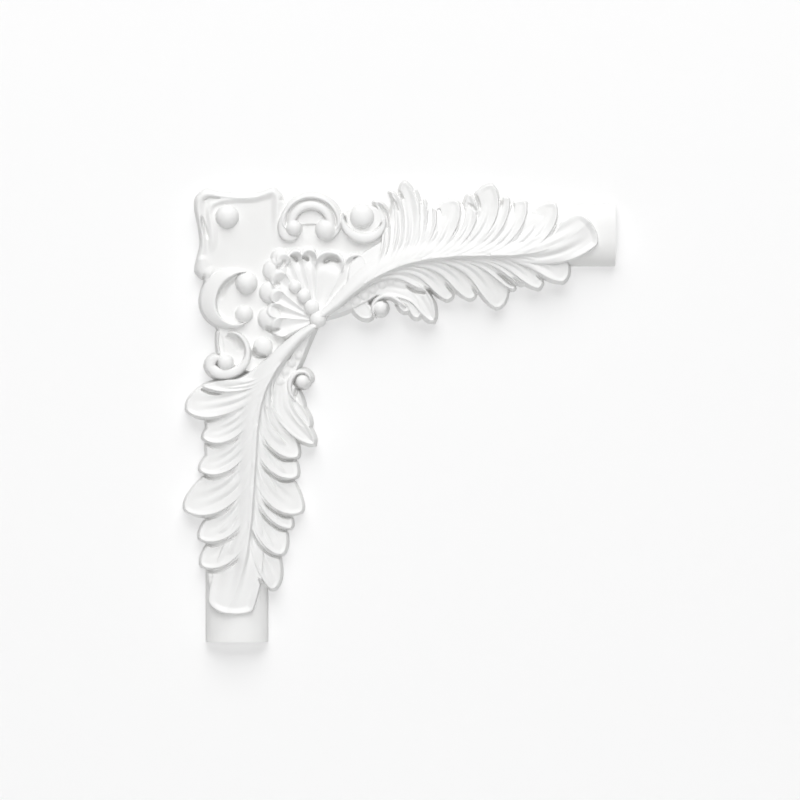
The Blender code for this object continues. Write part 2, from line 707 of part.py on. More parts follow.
@dataclass(frozen=True)
class Tablet:
    """The plain field with a soft border and a stud at the corner of the corner.

    Attributes:
        ground: Height of the field, and of the ground that the scrolls stand on.
        stud: The stud's place.
        stud_radius: Its radius.
    """

    ground: float = 11.0
    stud: Point = (-6.5, 12.5)
    stud_radius: float = 8.2
    outline: Tuple[Point, ...] = (
        (-29, 27), (-25, 31), (-20, 32.7), (-14, 31), (-7, 30), (2, 29.3), (12, 29.5), (18, 31), (25, 33.5),
        (29, 31.5), (33, 26), (30, 18), (28, 8), (28, -4), (26, -14), (12, -24), (4, -24), (-11, -25),
                                  (-17, -29.5),
        (-22, -30.5), (-25, -31.5), (-29.5, -27), (-30, -23), (-29, -18), (-27.5, -12), (-26.5, -8),
                                  (-26.5, -2),
        (-27.5, 5), (-29, 12), (-30, 18), (-30, 24))
    under: Tuple[Point, ...] = (
        (-24, -20), (-20, 20), (26, 26), (40, 20), (74, 10), (92, 12), (106, 2), (112, -20), (90, -38),
                                (60, -62),
        (36, -80), (18, -98), (-4, -92), (-10, -84), (-12, -72), (-22, -50))
    border: Tuple[Point, ...] = (
        (-24.6, -27), (-25.4, -20), (-24.6, -12), (-24.0, -4), (-24.8, 6), (-26.4, 16), (-26.0, 23.6),
        (-20.6, 28.0), (-12, 27.0),
        (0, 25.6), (11, 26.0), (19, 28.2), (25.4, 29.6), (28.6, 25.2), (28.4, 16), (28.0, 7), (26.6, -6))
    fold: Tuple[Point, ...] = (
        (-17.6, -14), (-16.8, -6), (-16.8, 2), (-17.8, 9), (-19.0, 15), (-17.6, 20.0), (-13.0, 22.6),
                               (-6, 23.2),
        (1, 22.6))

    def carve(self, relief: Relief) -> None:
        """Lays the ground, the field, its border and the stud."""
        relief.plate(self.under, self.ground)
        relief.plate(self.outline, self.ground, 2.4, 0.0)
        relief.swell(self.border, (4.6, 4.8, 5.0, 5.0, 4.6, 4.2, 4.4, 5.2, 5.2, 4.6, 2.6), 2.0)
        relief.swell(self.fold, (2.6, 4.2, 4.4, 4.2, 3.8, 3.2, 2.8, 2.4, 1.4), 1.5)
        relief.swell([(-25.0, -14), (-23.6, -20.5), (-22.2, -25), (-15, -29)], (4.4, 7.6, 7.6, 4.6), 2.0)
        relief.pit([(-24.6, 14), (-23.4, 8), (-21.6, 2), (-19.8, -4)], (1.0, 2.0, 2.2, 1.2), 4.2, 0.3)
        relief.pit([(-22.4, 24.0), (-18.6, 25.4), (-12, 25.2)], (0.9, 1.5, 0.7), 1.4)
        relief.ball(self.stud, self.stud_radius, self.ground - 0.4, 0.8, 0.6)


@dataclass(frozen=True)
class Scrolls:
    """The four scrolls between the tablet and the palmette.

    Attributes:
        ground: Height of the ground they stand on.
        arch: Middle of the arch at the top.
        arch_radius: Radius of the middle of its band.
    """

    ground: float = 11.0
    arch: Point = (52.0, 6.5)
    arch_radius: float = 16.2

    def carve_arch(self, relief: Relief) -> None:
        """Lays the arch with a volute at each foot."""
        cx, cz = self.arch
        relief.plate(arc(cx, cz, 12, 180, 0, 9) + [(61, 5), (52, 5.4), (43, 5)], 12.4, 0.8)

        def section(s: Grid) -> Grid:
            """A thin rim, a groove and a broad rolled body inside it."""
            rim = 1.5 * smooth((s - 0.30) / 0.14) * (1 - 0.75 * smooth((s - 0.52) / 0.48))
            groove = 2.6 * np.exp(-(((s - 0.20) / 0.15) ** 2))
            return rim - groove + 2.0 * np.maximum(1 - ((s + 0.40) / 0.60) ** 2, 0)

        relief.band(arc(cx, cz, self.arch_radius, 192, -14, 22), (6.8,), (14.4,), section, 0.6,
                    (0.16, 0.16))
        relief.band([(36.6, 19.0), (33.0, 12), (32.0, 5.6), (33.8, -0.4), (38.6, -2.6), (43.4, -1.4)],
                    (1.4, 3.2, 4.2, 4.8, 4.2, 2.4), (13.4, 14.2, 13.8, 13.2, 12.4), roll(1.6), 1.6,
                    (0.2, 0.1))
        relief.ball((40, 4.5), 5.6, 13.6, 0.85, 1.0)
        relief.band([(67.6, 17.0), (71.0, 11), (70.6, 4), (66.6, -1.0), (61.4, -2.0), (57.0, 0.2)],
                    (1.2, 2.4, 3.2, 3.4, 3.2, 2.0), (13.4, 14.0, 13.8, 13.2, 12.4), roll(1.4), 1.6,
                    (0.2, 0.1))
        relief.ball((62.4, 3.4), 7.2, 13.0, 0.68, 1.0)

    def carve_side(self, relief: Relief) -> None:
        """Lays the C scroll on the left with a ball at each end."""
        path = [(9, -26.4), (1, -25.6), (-8, -28.2), (-15.6, -34.6), (-19.4, -44), (-18.6, -53),
                (-13.6, -60),
                (-6, -63.6), (2, -63.8), (8, -60.4)]
        relief.band(path, (1.4, 3.4, 5.6, 6.8, 7.2, 7.0, 5.6, 3.8, 2.6, 1.6),
                    (12.0, 12.2, 11.8, 11.4, 11.4, 11.8, 12.2), lipped(4.6, 0.66), 0.8, (0.05, 0.05))
        relief.ball((7, -33.8), 7.6, 12.2, 0.8, 0.6)
        relief.ball((5.4, -55.4), 6.2, 11.4, 0.75, 1.2)
        relief.pit([(2, -29.6), (-5, -33), (-9.6, -39), (-10.8, -47)], (2.4, 3.4, 3.6, 3.0), 2.2, 0.3)

    def carve_lower(self, relief: Relief) -> None:
        """Lays the scroll under it."""
        relief.plate([(-13.5, -66), (-15.4, -74), (-14.8, -81), (-12, -88), (0, -92), (6, -82), (3, -72),
                      (-6, -66)],
                     self.ground - 0.4, 1.0, 1.0)
        path = [(-7.4, -68.4), (-0.6, -68.8), (5.2, -73.4), (8.0, -80.8), (6.6, -88.6), (1.0, -94.6),
                (-6.6, -97.2),
                (-14, -96.0), (-18.2, -91.6), (-15.6, -87.0), (-10, -85.6)]
        relief.band(path, (1.2, 2.4, 2.9, 3.3, 3.6, 4.0, 4.6, 5.0, 5.0, 4.4, 3.0),
                    (13.4, 14.0, 14.2, 14.2, 14.0, 13.8, 14.2), roll(1.8), 1.2, (0.04, 0.06))
        relief.band([(-12.6, -67), (-13.2, -75), (-12, -84)], (2.4, 2.0, 2.4), (12.4, 12.6, 13.0),
                    roll(0.9), 1.2,
                    (0.1, 0.1))
        relief.ball((-7.5, -89.4), 5.4, 14.0, 0.7, 0.6)
        relief.pit([(-5.6, -71.6), (-0.6, -73.4), (1.8, -79)], (2.4, 4.0, 3.4), 2.2)

    def carve_right(self, relief: Relief) -> None:
        """Lays the scroll between the arch and the top leaf."""
        relief.plate([(74, 14), (78, 3), (88, -2), (99, 3), (103, 12), (98, 20), (88, 20.4), (79, 18)],
                     self.ground + 1.2, 1.0, 1.0)
        path = [(74.6, 16.0), (73.8, 10.0), (77.0, 3.2), (83.2, -1.4), (90.0, -2.8), (97.2, -0.6),
                (102.2, 5.0),
                (103.4, 11.4)]
        relief.band(path, (1.8, 3.0, 4.0, 4.6, 4.8, 4.4, 3.4, 2.2),
                    (13.6, 14.2, 14.6, 14.8, 14.8, 14.4, 14), roll(1.8), 0.8, (0.06, 0.06))
        relief.ball((87.6, 12.2), 8.2, 12.8, 0.56, 1.6)
        relief.band([(80.4, 12.0), (82.6, 6.2), (88.0, 3.4), (94.4, 5.0), (97.4, 10.4)],
                    (0.8, 1.2, 1.4, 1.2, 0.8),
                    (14.6,), roll(0.9), 0.6, (0.1, 0.1))
        relief.pit([(84.0, 6.0), (88.4, 4.8), (93.4, 7.2)], (1.0, 1.4, 1.0), 2.2, 0.3)

    def carve_knob(self, relief: Relief) -> None:
        """Lays the knob beside the lower one, and cuts the pocket under it."""
        relief.ball((18.4, -78.4), 6.6, 12.6, 0.6, 1.6)
        relief.pit([(12.6, -80.4), (13.4, -84.0), (19.6, -85.0)], (1.8, 2.8, 1.4), 5.0)

    def carve(self, relief: Relief) -> None:
        """Lays all four, and the knob."""
        self.carve_arch(relief)
        self.carve_side(relief)
        self.carve_lower(relief)
        self.carve_right(relief)
        self.carve_knob(relief)


@dataclass(frozen=True)
class Flute:
    """One flute of the palmette.

    Attributes:
        first: Heading of the ridge on its one side, in degrees.
        last: Heading of the ridge on its other side.
        reach: How far it reaches from the boss.
        deep: Depth of its hollow behind the lip.
    """

    first: float
    last: float
    reach: float
    deep: float


@dataclass(frozen=True)
class Palmette:
    """The palmette: flutes fanned about a boss, each ending in a lip that curls over a hollow.

    Attributes:
        boss: Where the flutes meet.
        flutes: The flutes, from the side run round to the top run.
        curls: Centre and radius of the three lips that are rolled up into a curl.
        eyes: The hollows under the curls, as points, half widths and depth.
        lip: Width of the lips.
        lip_rise: Their rise.
        low: Height at the boss.
        high: Height at the lips.
    """

    boss: Point = (56.0, -60.0)
    flutes: Tuple[Flute, ...] = (
        Flute(206, 176, 33.0, 0.6), Flute(176, 157, 36.0, 3.6), Flute(157, 141, 38.0, 0.8),
        Flute(141, 124, 45.5, 0.8), Flute(124, 113.5, 54.0, 3.6), Flute(113.5, 103, 52.8, 4.6),
        Flute(103, 90.5, 51.6, 4.8), Flute(90.5, 63, 50.5, 5.6), Flute(63, 46, 56.0, 4.2))
    curls: Tuple[Tuple[Point, float], ...] = (((23.4, -58.6), 8.0), ((24.0, -40.2), 7.6),
                                              ((26.8, -25.2), 8.0),
                                                    ((31.0, -16.4), 6.6))
    eyes: Tuple[Tuple[Tuple[Point, ...], Tuple[float, ...], float], ...] = (
        (((19.6, -64.2), (24.4, -66.8), (31.0, -66.0)), (1.6, 2.6, 1.2), 5.0),
        (((26.4, -36.6), (28.2, -35.2), (30.4, -33.8)), (2.0, 2.4, 1.8), 3.0),
        (((27.6, -24.4), (30.0, -22.8), (32.4, -20.8), (33.8, -17.2)), (1.6, 2.2, 2.0, 1.6), 3.6),
        (((37.4, -14.6), (40.4, -16.0), (42.8, -19.4)), (1.2, 2.1, 1.2), 5.4),
        (((45.6, -17.4), (48.0, -16.4), (50.4, -18.8)), (1.3, 2.3, 1.2), 6.0),
        (((60.6, -21.0), (63.6, -17.6), (68.0, -16.8), (72.6, -20.0)), (1.6, 3.0, 3.2, 1.6), 6.6),
        (((81.0, -17.4), (85.4, -16.8), (89.0, -19.6)), (1.4, 2.2, 1.2), 4.4))
    lip: float = 5.2
    lip_rise: float = 1.6
    low: float = 14.8
    high: float = 15.2

    def carve(self, relief: Relief) -> None:
        """Lays the flutes side by side, then the curls, and cuts the eyes under them."""
        bx, bz = self.boss
        corners = arc(bx, bz, 64, self.flutes[0].first, self.flutes[-1].last, 12)
        where, gx, gz = relief.window(np.array(corners + [self.boss]), 2)
        r = np.hypot(gx - bx, gz - bz)
        a = np.degrees(np.arctan2(gz - bz, gx - bx)) % 360
        for flute in self.flutes:
            relief.lay(where, self.cut_flute(relief.draft, r, a, flute), 1.4)
        for centre, radius in self.curls:
            relief.ball(centre, radius, self.low - 2.4, 0.5, 5.0)
        for line, half, deep in self.eyes:
            relief.pit(line, half, deep, 0.2)

    def cut_flute(self, draft: Draft, r: Grid, a: Grid, flute: Flute) -> Grid:
        """Heights of one flute.

        Args:
            draft: The mould's draft.
            r: Distances from the boss.
            a: Headings from the boss.
            flute: Its sizes.

        Returns:
            Its heights, far below outside it.
        """
        middle, wide = (flute.first + flute.last) / 2, (flute.first - flute.last) / 2
        u = (a - middle) / wide
        across = np.radians(wide) * flute.reach
        scallop = np.sqrt(np.maximum(1 - np.clip(np.abs(u), 0, 1) ** 2.2, 0))
        out = flute.reach - across * 0.7 * (1 - scallop)
        inside = np.minimum(out - r, (1.0 - np.abs(u)) * np.radians(wide) * r + 4.0)
        run = np.clip(r / (out - self.lip), 0, 1)
        lip = self.lip_rise * np.exp(-(((out - r - self.lip * 0.5) / (self.lip * 0.44)) ** 2))
        body = self.low + (self.high - self.low) * smooth(run / 0.75)
        soft = np.exp(-((u / 0.62) ** 2))
        hollow = flute.deep * np.exp(-(((r - (out - self.lip * 1.5)) / (self.lip * 0.9)) ** 2))
        tail = 0.9 * smooth(run / 0.5) * (1 - smooth((r - out + self.lip * 1.4) / 2.0))
        beyond = 1.6 * np.radians(wide) * r * np.maximum(np.abs(u) - 1, 0)
        one = body + lip - (hollow + tail) * soft - beyond
        return np.where(np.abs(u) < 3, draft.edge(one, inside + draft.inset * 0.6, 2.8, 4.5), BELOW)


@dataclass(frozen=True)
class InnerLeaves:
    """The two small scrolled leaves on the inside of the corner, and the ruffled strips they grow from.

    Attributes:
        ruffle: Height of the ruffled strips.
        blade: Height of the blades.
    """

    ruffle: float = 13.6
    blade: float = 13.4

    def carve_top(self, relief: Relief) -> None:
        """Lays the one that hangs under the top leaf."""
        high, low = self.blade, self.blade - 1.2
        relief.tongue([(62, -58), (74, -51.5), (88, -44), (108, -33)], (2.0, 4.6, 5.4, 4.4), (self.ruffle,),
                      0.8)
        relief.tongue([(84, -44), (96, -37.6), (112, -37.2), (127, -43), (138.4, -62.2)],
                      (5.4, 6.8, 7.4, 8.6, 8.2, 5.6), (high, high + 0.6, high + 0.2, low), 1.4, 2.2,
                      vein=0.8, tip=0.16)
        relief.tongue([(88, -42), (86.6, -50), (95, -59.5)], (6.5, 7.4, 5.4), (high - 0.6, high - 0.8, low),
                      1.0)
        relief.tongue([(106, -40), (115, -45), (119.5, -55.5)], (4.4, 5.8, 5.2), (high, high - 0.4, low),
                      1.2)
        relief.tongue([(110, -39), (122, -46), (127, -60)], (4.4, 6.2, 5.2), (high, high - 0.4, low), 1.3)
        relief.band([(97.4, -58), (95.0, -53), (96.4, -47.2), (101.6, -43.4), (108, -43.4), (114, -47.0),
                     (119, -51)], (1.6, 2.4, 2.6, 2.8, 2.8, 2.6, 1.8), (14.0, 14.4, 14.6, 14.2, 13.4),
                    roll(1.5), 0.6, (0.08, 0.06))
        relief.ball((100.4, -51.4), 5.0, 13.4, 0.8, 0.4)
        relief.pit([(103.4, -46.8), (107.4, -46.4), (112.0, -49.0)], (1.2, 1.8, 1.0), 5.0)
        for x, z in ((77.6, -49.8), (83.6, -46.4), (89.6, -42.6), (95.4, -38.4), (101.4, -34.8),
                     (107.4, -32.0)):
            relief.ball((x, z), 3.4, self.ruffle - 0.6, 0.6, 0.8)

    def carve_side(self, relief: Relief) -> None:
        """Lays the one beside the side leaf."""
        high, low = self.blade, self.blade - 1.2
        relief.tongue([(55, -64), (46.5, -77), (40, -90), (32, -106)], (2.0, 4.6, 5.4, 4.4), (self.ruffle,),
                      0.8)
        relief.tongue([(38, -86), (32.4, -104), (34, -124), (55.4, -147.6)], (5.0, 6.8, 7.6, 8.8, 8.4, 6.2),
                      (high, high + 0.4, high, low), 1.4, 2.2, vein=0.8, tip=0.18)
        relief.tongue([(34, -102), (40, -114), (45.6, -127.5)], (4.6, 6.4, 5.4), (high, high - 0.3, low),
                      1.2)
        relief.tongue([(34, -110), (43, -124), (51, -136.5)], (4.6, 6.6, 5.6), (high, high - 0.3, low), 1.3)
        relief.band([(42, -117), (37.6, -110), (37.6, -102.4), (41.6, -96.8), (47.6, -96.0), (51.4, -99.6),
                     (51.2, -104.0)], (1.8, 2.6, 3.0, 3.0, 2.8, 2.6, 1.8), (13.5, 14.4, 15.0, 15.0, 14.4),
                    roll(1.7),
                    0.6, (0.08, 0.08))
        relief.ball((46.2, -102.4), 4.8, 13.4, 0.8, 0.4)
        relief.pit([(46, -108), (42.4, -108), (41.0, -113)], (1.2, 2.2, 1.2), 5.0)
        for x, z in ((43.6, -84.6), (38.6, -89.8), (34.2, -95.6), (30.4, -102.4)):
            relief.ball((x, z), 3.2, self.ruffle - 0.6, 0.6, 0.8)

    def carve(self, relief: Relief) -> None:
        """Lays both."""
        self.carve_top(relief)
        self.carve_side(relief)


@dataclass(frozen=True)
class Pearls:
    """The row of pearls that grows towards the palmette's boss.

    Attributes:
        first: The smallest pearl's centre.
        last: The boss's centre.
        count: How many there are.
        small: Radius of the first.
        large: Radius of the last.
        seat: Height of the first one's rim.
        seat_last: Height of the last one's rim.
        flat: Rise of a pearl for each millimetre of radius.
    """

    first: Point = (40.7, -36.5)
    last: Point = (57.0, -59.5)
    count: int = 4
    small: float = 4.3
    large: float = 5.8
    seat: float = 15.2
    seat_last: float = 16.5
    flat: float = 0.8
    bow: float = 1.6

    def places(self) -> List[Tuple[Point, float, float]]:
        """Centre, radius and seat of each pearl in turn."""
        rows = []
        for k in range(self.count):
            t = k / (self.count - 1)
            x = self.first[0] + (self.last[0] - self.first[0]) * t + self.bow * 4 * t * (1 - t) * 0.7
            z = self.first[1] + (self.last[1] - self.first[1]) * t + self.bow * 4 * t * (1 - t) * 0.7
            rows.append(((x, z), self.small + (self.large - self.small) * t,
                         self.seat + (self.seat_last - self.seat) * t))
        return rows

    def carve(self, relief: Relief) -> None:
        """Lays them as round bosses."""
        for centre, radius, seat in self.places():
            relief.ball(centre, radius, seat, self.flat, 0.5)


@dataclass(frozen=True)
class Run:
    """A plain length of the panel moulding: a cushion with steep edges.

    Attributes:
        arm: The run it is.
        length: From the crossing of the centre lines to its square end.
        start: Where it starts under the leaf.
        half: Half its width.
        high: Its height.
        shoulder: Height of its steep edge.
        full: How full its cushion is; 2 is a true ellipse.
    """

    arm: Arm
    length: float
    start: float = 118.0
    half: float = 22.0
    high: float = 14.0
    shoulder: float = 4.0
    full: float = 2.2

    def section(self, off: Grid, slope: float) -> Grid:
        """Heights across it.

        Args:
            off: Distances from its centre line.
            slope: Draft of its steep edges.

        Returns:
            The heights, below the wall past its edges.
        """
        away = np.abs(off)
        flank = self.half - self.shoulder / slope
        u = np.minimum(away / flank, 1.0)
        crown = (self.high - self.shoulder) * np.sqrt(np.maximum(1 - u**self.full, 0))
        return self.shoulder + crown - slope * np.maximum(away - flank, 0)

    def carve(self, relief: Relief) -> None:
        """Lays it, a little past its end, where it is sawn off later."""
        gx, gz = np.meshgrid(relief.xs, relief.zs)
        run, off = (gx, gz) if self.arm is Arm.TOP else (-gz, gx)
        surface = np.maximum(self.section(off, relief.draft.slope), BELOW)
        surface = np.where((run > self.start) & (run < self.length + 3), surface, BELOW)
        relief.lay((slice(None), slice(None)), surface, 0)


def carve_ornament(relief: Relief) -> None:
    """Carves everything but the plain runs and the pearls."""
    Tablet().carve(relief)
    Scrolls().carve(relief)
    InnerLeaves().carve(relief)
    Palmette().carve(relief)
    top_leaf().carve(relief)
    side_leaf().carve(relief)
    relief.make_cuts()


# how the solid is made from the drawn front, in drawn millimetres
GRID_PITCH = 1.0            # spacing of the grid that the front is drawn on
FACETS = 8600               # triangles that the solid is thinned to
BEHIND = 6.0                # how far the block reaches into the wall before its back is cut flat
KEEP_ROOM = 5.0             # how far the cutting block stands past the carving
KEEP_FRONT = 40.0           # and how far it stands out from the wall


def cast(name: str, relief: Relief) -> bpy.types.Object:
    """A closed block whose front is the relief and whose back lies behind the wall.

    Args:
        name: Name of the object.
        relief: The carved front.

    Returns:
        The block.
    """
    xs, zs, height = relief.xs, relief.zs, relief.height
    mesh = bpy.data.meshes.new(name)
    bm = bmesh.new()
    bmesh.ops.create_grid(bm, x_segments=len(xs) - 1, y_segments=len(zs) - 1, size=0.5)
    bm.verts.ensure_lookup_table()
    rows = np.array([(v.co.x, v.co.y) for v in bm.verts])
    column = np.rint((rows[:, 0] + 0.5) * (len(xs) - 1)).astype(int)
    row = np.rint((rows[:, 1] + 0.5) * (len(zs) - 1)).astype(int)
    for vert, i, j in zip(bm.verts, column, row):
        vert.co = (xs[i] * DRAWN * MM, -height[j, i] * DRAWN_DEPTH * MM, zs[j] * DRAWN * MM)
    rim = [e for e in bm.edges if e.is_boundary]
    skirt = bmesh.ops.extrude_edge_only(bm, edges=rim)["geom"]
    for vert in (g for g in skirt if isinstance(g, bmesh.types.BMVert)):
        vert.co.y = BEHIND * DRAWN_DEPTH * MM
    back = [e for e in bm.edges if e.is_boundary]
    bmesh.ops.contextual_create(bm, geom=back)
    bmesh.ops.recalc_face_normals(bm, faces=bm.faces)
    bm.to_mesh(mesh)
    bm.free()
    return bpy.data.objects.new(name, mesh)


def box(name: str, low: Sequence[float], high: Sequence[float]) -> bpy.types.Object:
    """A plain block between two corners, in metres."""
    bpy.ops.mesh.primitive_cube_add(size=1.0)
    block = bpy.context.object
    block.name = name
    block.location = [(a + b) / 2 for a, b in zip(low, high)]
    block.scale = [b - a for a, b in zip(low, high)]
    bpy.ops.object.transform_apply(location=True, rotation=False, scale=True)
    return block


def white_primer() -> bpy.types.Material:
    """The factory's matte white primer."""
    paint = bpy.data.materials.new("primed_white")
    paint.use_nodes = True
    shader = paint.node_tree.nodes["Principled BSDF"]
    shader.inputs["Base Color"].default_value = (0.86, 0.86, 0.85, 1)
    shader.inputs["Roughness"].default_value = 0.55
    shader.inputs["Metallic"].default_value = 0.0
    return paint


def main() -> None:
    """Builds the casting, with its ends cut square and its back cut at the wall."""
    for thing in list(bpy.data.objects):
        bpy.data.objects.remove(thing, do_unlink=True)
    parts = bpy.data.collections.new("moulding_corner")
    cutters = bpy.data.collections.new("cutters")
    bpy.context.scene.collection.children.link(parts)
    bpy.context.scene.collection.children.link(cutters)

    relief = Relief(GRID_PITCH)
    Run(Arm.TOP, ARM_LENGTH / DRAWN).carve(relief)
    Run(Arm.SIDE, DROP_LENGTH / DRAWN).carve(relief)
    carve_ornament(relief)
    Pearls().carve(relief)
    piece = cast("moulding_corner", relief)
    parts.objects.link(piece)
    piece.data.materials.append(white_primer())

    low = ((relief.xs[0] - KEEP_ROOM) * DRAWN * MM, -KEEP_FRONT * DRAWN_DEPTH * MM, -DROP_LENGTH * MM)
    high = (ARM_LENGTH * MM, 0.0, (relief.zs[-1] + KEEP_ROOM) * DRAWN * MM)
    keep = box("room_side", low, high)
    for owner in list(keep.users_collection):
        owner.objects.unlink(keep)
    cutters.objects.link(keep)
    keep.hide_render = True
    keep.display_type = "WIRE"

    thin = piece.modifiers.new("facets", "DECIMATE")
    thin.ratio = FACETS / (2.0 * (len(relief.xs) - 1) * (len(relief.zs) - 1))
    trim = piece.modifiers.new("square_ends_and_back", "BOOLEAN")
    trim.operation = "INTERSECT"
    trim.solver = "EXACT"
    trim.object = keep
    bpy.context.view_layer.update()


main()
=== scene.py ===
"""Looks of the carved moulding corner: one white-primed casting on a plain wall, in a plain pale studio.

The front of the casting is drawn as heights above the wall, in millimetres for a 44 mm run: x goes along the
top run, z goes up, and the wall is y = 0 with the relief towards -y. The origin is on the wall, where the
centre lines of the two runs cross.
"""
from __future__ import annotations

import logging
import math
from dataclasses import dataclass, field
from enum import Enum
from typing import Callable, Dict, List, Optional, Sequence, Tuple, Union

import bmesh
import bpy
import numpy as np
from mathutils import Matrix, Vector


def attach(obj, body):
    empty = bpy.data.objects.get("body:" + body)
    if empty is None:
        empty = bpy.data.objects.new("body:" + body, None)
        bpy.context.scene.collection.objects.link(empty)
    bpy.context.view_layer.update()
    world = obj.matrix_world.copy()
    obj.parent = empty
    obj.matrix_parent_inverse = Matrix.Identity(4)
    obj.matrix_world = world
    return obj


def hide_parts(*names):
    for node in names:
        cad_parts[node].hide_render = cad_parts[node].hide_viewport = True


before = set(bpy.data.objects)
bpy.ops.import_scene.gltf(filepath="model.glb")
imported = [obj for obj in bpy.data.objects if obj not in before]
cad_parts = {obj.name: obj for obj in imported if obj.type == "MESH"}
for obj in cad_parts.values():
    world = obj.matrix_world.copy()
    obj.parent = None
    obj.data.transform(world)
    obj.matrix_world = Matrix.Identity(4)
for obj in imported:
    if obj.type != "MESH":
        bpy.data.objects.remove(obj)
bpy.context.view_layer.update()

logging.basicConfig(level=logging.INFO, format="%(message)s")
log = logging.getLogger("moulding_corner")


# driving sizes in millimetres; everything else is drawn for a 44 mm run that stands 14 mm high
RUN_WIDTH = 44.0            # the panel moulding that the piece continues
RUN_HEIGHT = 14.0
ARM_LENGTH = 264.5          # from the crossing of the centre lines to the square end of the top run
DROP_LENGTH = 284.5         # and to the square end of the side run

MM = 0.001
DRAWN = RUN_WIDTH / 44.0            # real width for each drawn millimetre
DRAWN_DEPTH = RUN_HEIGHT / 14.0     # real depth for each drawn millimetre
BELOW = -3.0                        # drawn level outside the carving, behind the wall
ORNAMENT_REACH = 46.0               # drawn room for the ornament outside the crossing of the centre lines
END_ROOM = 7.5                      # drawn room past each square end

Point = Tuple[float, float]
Grid = np.ndarray


def smooth(t: Grid) -> Grid:
    """Eased step from 0 to 1.

    Args:
        t: Values, where 0 to 1 is the step.

    Returns:
        The eased values.
    """
    t = np.clip(t, 0.0, 1.0)
    return t * t * (3.0 - 2.0 * t)


def curve(points: Sequence[Point], count: int = 36) -> Grid:
    """Smooth curve through a few points.

    Args:
        points: What the curve passes through.
        count: How many steps it is cut into.

    Returns:
        The curve's points, one a row.
    """
    p = np.asarray(points, float)
    p = np.vstack([2 * p[0] - p[1], p, 2 * p[-1] - p[-2]])
    spans = len(p) - 3
    t = np.linspace(0, spans, count + 1)
    i = np.minimum(t.astype(int), spans - 1)
    f = (t - i)[:, None]
    a, b, c, d = p[i], p[i + 1], p[i + 2], p[i + 3]
    return 0.5 * (2 * b + (c - a) * f + (2 * a - 5 * b + 4 * c - d) * f**2 + (3 * b - a - 3 * c + d) * f**3)


def along(values: Sequence[float], t: Grid) -> Grid:
    """Values spaced evenly along a line, read where they are needed.

    Args:
        values: The values from the line's start to its end.
        t: Shares of the line's length.

    Returns:
        The values there, with smooth joins.
    """
    v = np.asarray(values, float)
    if len(v) == 1:
        return np.full_like(t, v[0])
    c = curve(np.column_stack([np.linspace(0, 1, len(v)), v]), 80)
    return np.interp(t, c[:, 0], c[:, 1])


def bend(a: Grid, b: Grid, c: Grid, d: Grid, count: int = 36) -> Grid:
    """Cubic bend between two ends, with its points closer together towards its end.

    Args:
        a: Start.
        b: Handle leaving the start.
        c: Handle reaching the end.
        d: End.
        count: How many steps it is cut into.

    Returns:
        The bend's points, one a row.
    """
    t = (1 - (1 - np.linspace(0, 1, count + 1)) ** 1.8)[:, None]
    return (1 - t) ** 3 * a + 3 * (1 - t) ** 2 * t * b + 3 * (1 - t) * t * t * c + t**3 * d


def heading(degrees: float) -> Grid:
    """Unit step in a direction, 0 along the top run and 90 upwards."""
    r = np.radians(degrees)
    return np.array([np.cos(r), np.sin(r)])


def arc(cx: float, cz: float, r: float, start: float, end: float, count: int = 14) -> List[Point]:
    """Points on an arc.

    Args:
        cx: Centre across.
        cz: Centre up.
        r: Radius.
        start: First heading in degrees.
        end: Last heading.
        count: How many points.

    Returns:
        The points in order.
    """
    a = np.radians(np.linspace(start, end, count))
    return [(cx + r * np.cos(k), cz + r * np.sin(k)) for k in a]


def ribbon(line: Grid, half: Grid) -> Grid:
    """Outline of a strip of that half width about a line."""
    d = np.gradient(line, axis=0)
    d /= np.maximum(np.hypot(*d.T), 1e-9)[:, None]
    n = np.column_stack([-d[:, 1], d[:, 0]])
    return np.vstack([line + n * half[:, None], (line - n * half[:, None])[::-1]])


def depth_inside(outline: Grid, gx: Grid, gz: Grid) -> Grid:
    """How far points lie inside a closed outline.

    Args:
        outline: The outline's corners.
        gx: Points across.
        gz: Points up.

    Returns:
        Distances, negative outside.
    """
    best = np.full(gx.shape, 1e9)
    within = np.zeros(gx.shape, bool)
    for (ax, az), (bx, bz) in zip(outline, np.roll(outline, -1, axis=0)):
        ex, ez = bx - ax, bz - az
        size = ex * ex + ez * ez
        if size < 1e-12:
            continue
        wx, wz = gx - ax, gz - az
        t = np.clip((wx * ex + wz * ez) / size, 0, 1)
        best = np.minimum(best, (wx - t * ex) ** 2 + (wz - t * ez) ** 2)
        if az != bz:
            within ^= ((az > gz) != (bz > gz)) & (gx < ex * (gz - az) / (bz - az) + ax)
    d = np.sqrt(best)
    return np.where(within, d, -d)


def place_on(line: Grid, gx: Grid, gz: Grid) -> Tuple[Grid, Grid]:
    """Where points lie beside a line.

    Args:
        line: The line's points.
        gx: Points across.
        gz: Points up.

    Returns:
        The share of the line's length that each is nearest to, and how far to the line's left it lies.
    """
    step = np.diff(line, axis=0)
    length = np.hypot(*step.T)
    run = np.concatenate([[0], np.cumsum(length)])
    best = np.full(gx.shape, 1e9)
    t = np.zeros(gx.shape)
    off = np.zeros(gx.shape)
    for k in range(len(step)):
        if length[k] < 1e-9:
            continue
        wx, wz = gx - line[k, 0], gz - line[k, 1]
        f = np.clip((wx * step[k, 0] + wz * step[k, 1]) / length[k] ** 2, 0, 1)
        dx, dz = wx - f * step[k, 0], wz - f * step[k, 1]
        d = dx * dx + dz * dz
        nearer = d < best
        best = np.where(nearer, d, best)
        t = np.where(nearer, (run[k] + f * length[k]) / run[-1], t)
        side = step[k, 0] * wz - step[k, 1] * wx
        off = np.where(nearer, np.sign(side) * np.sqrt(d), off)
    return t, off


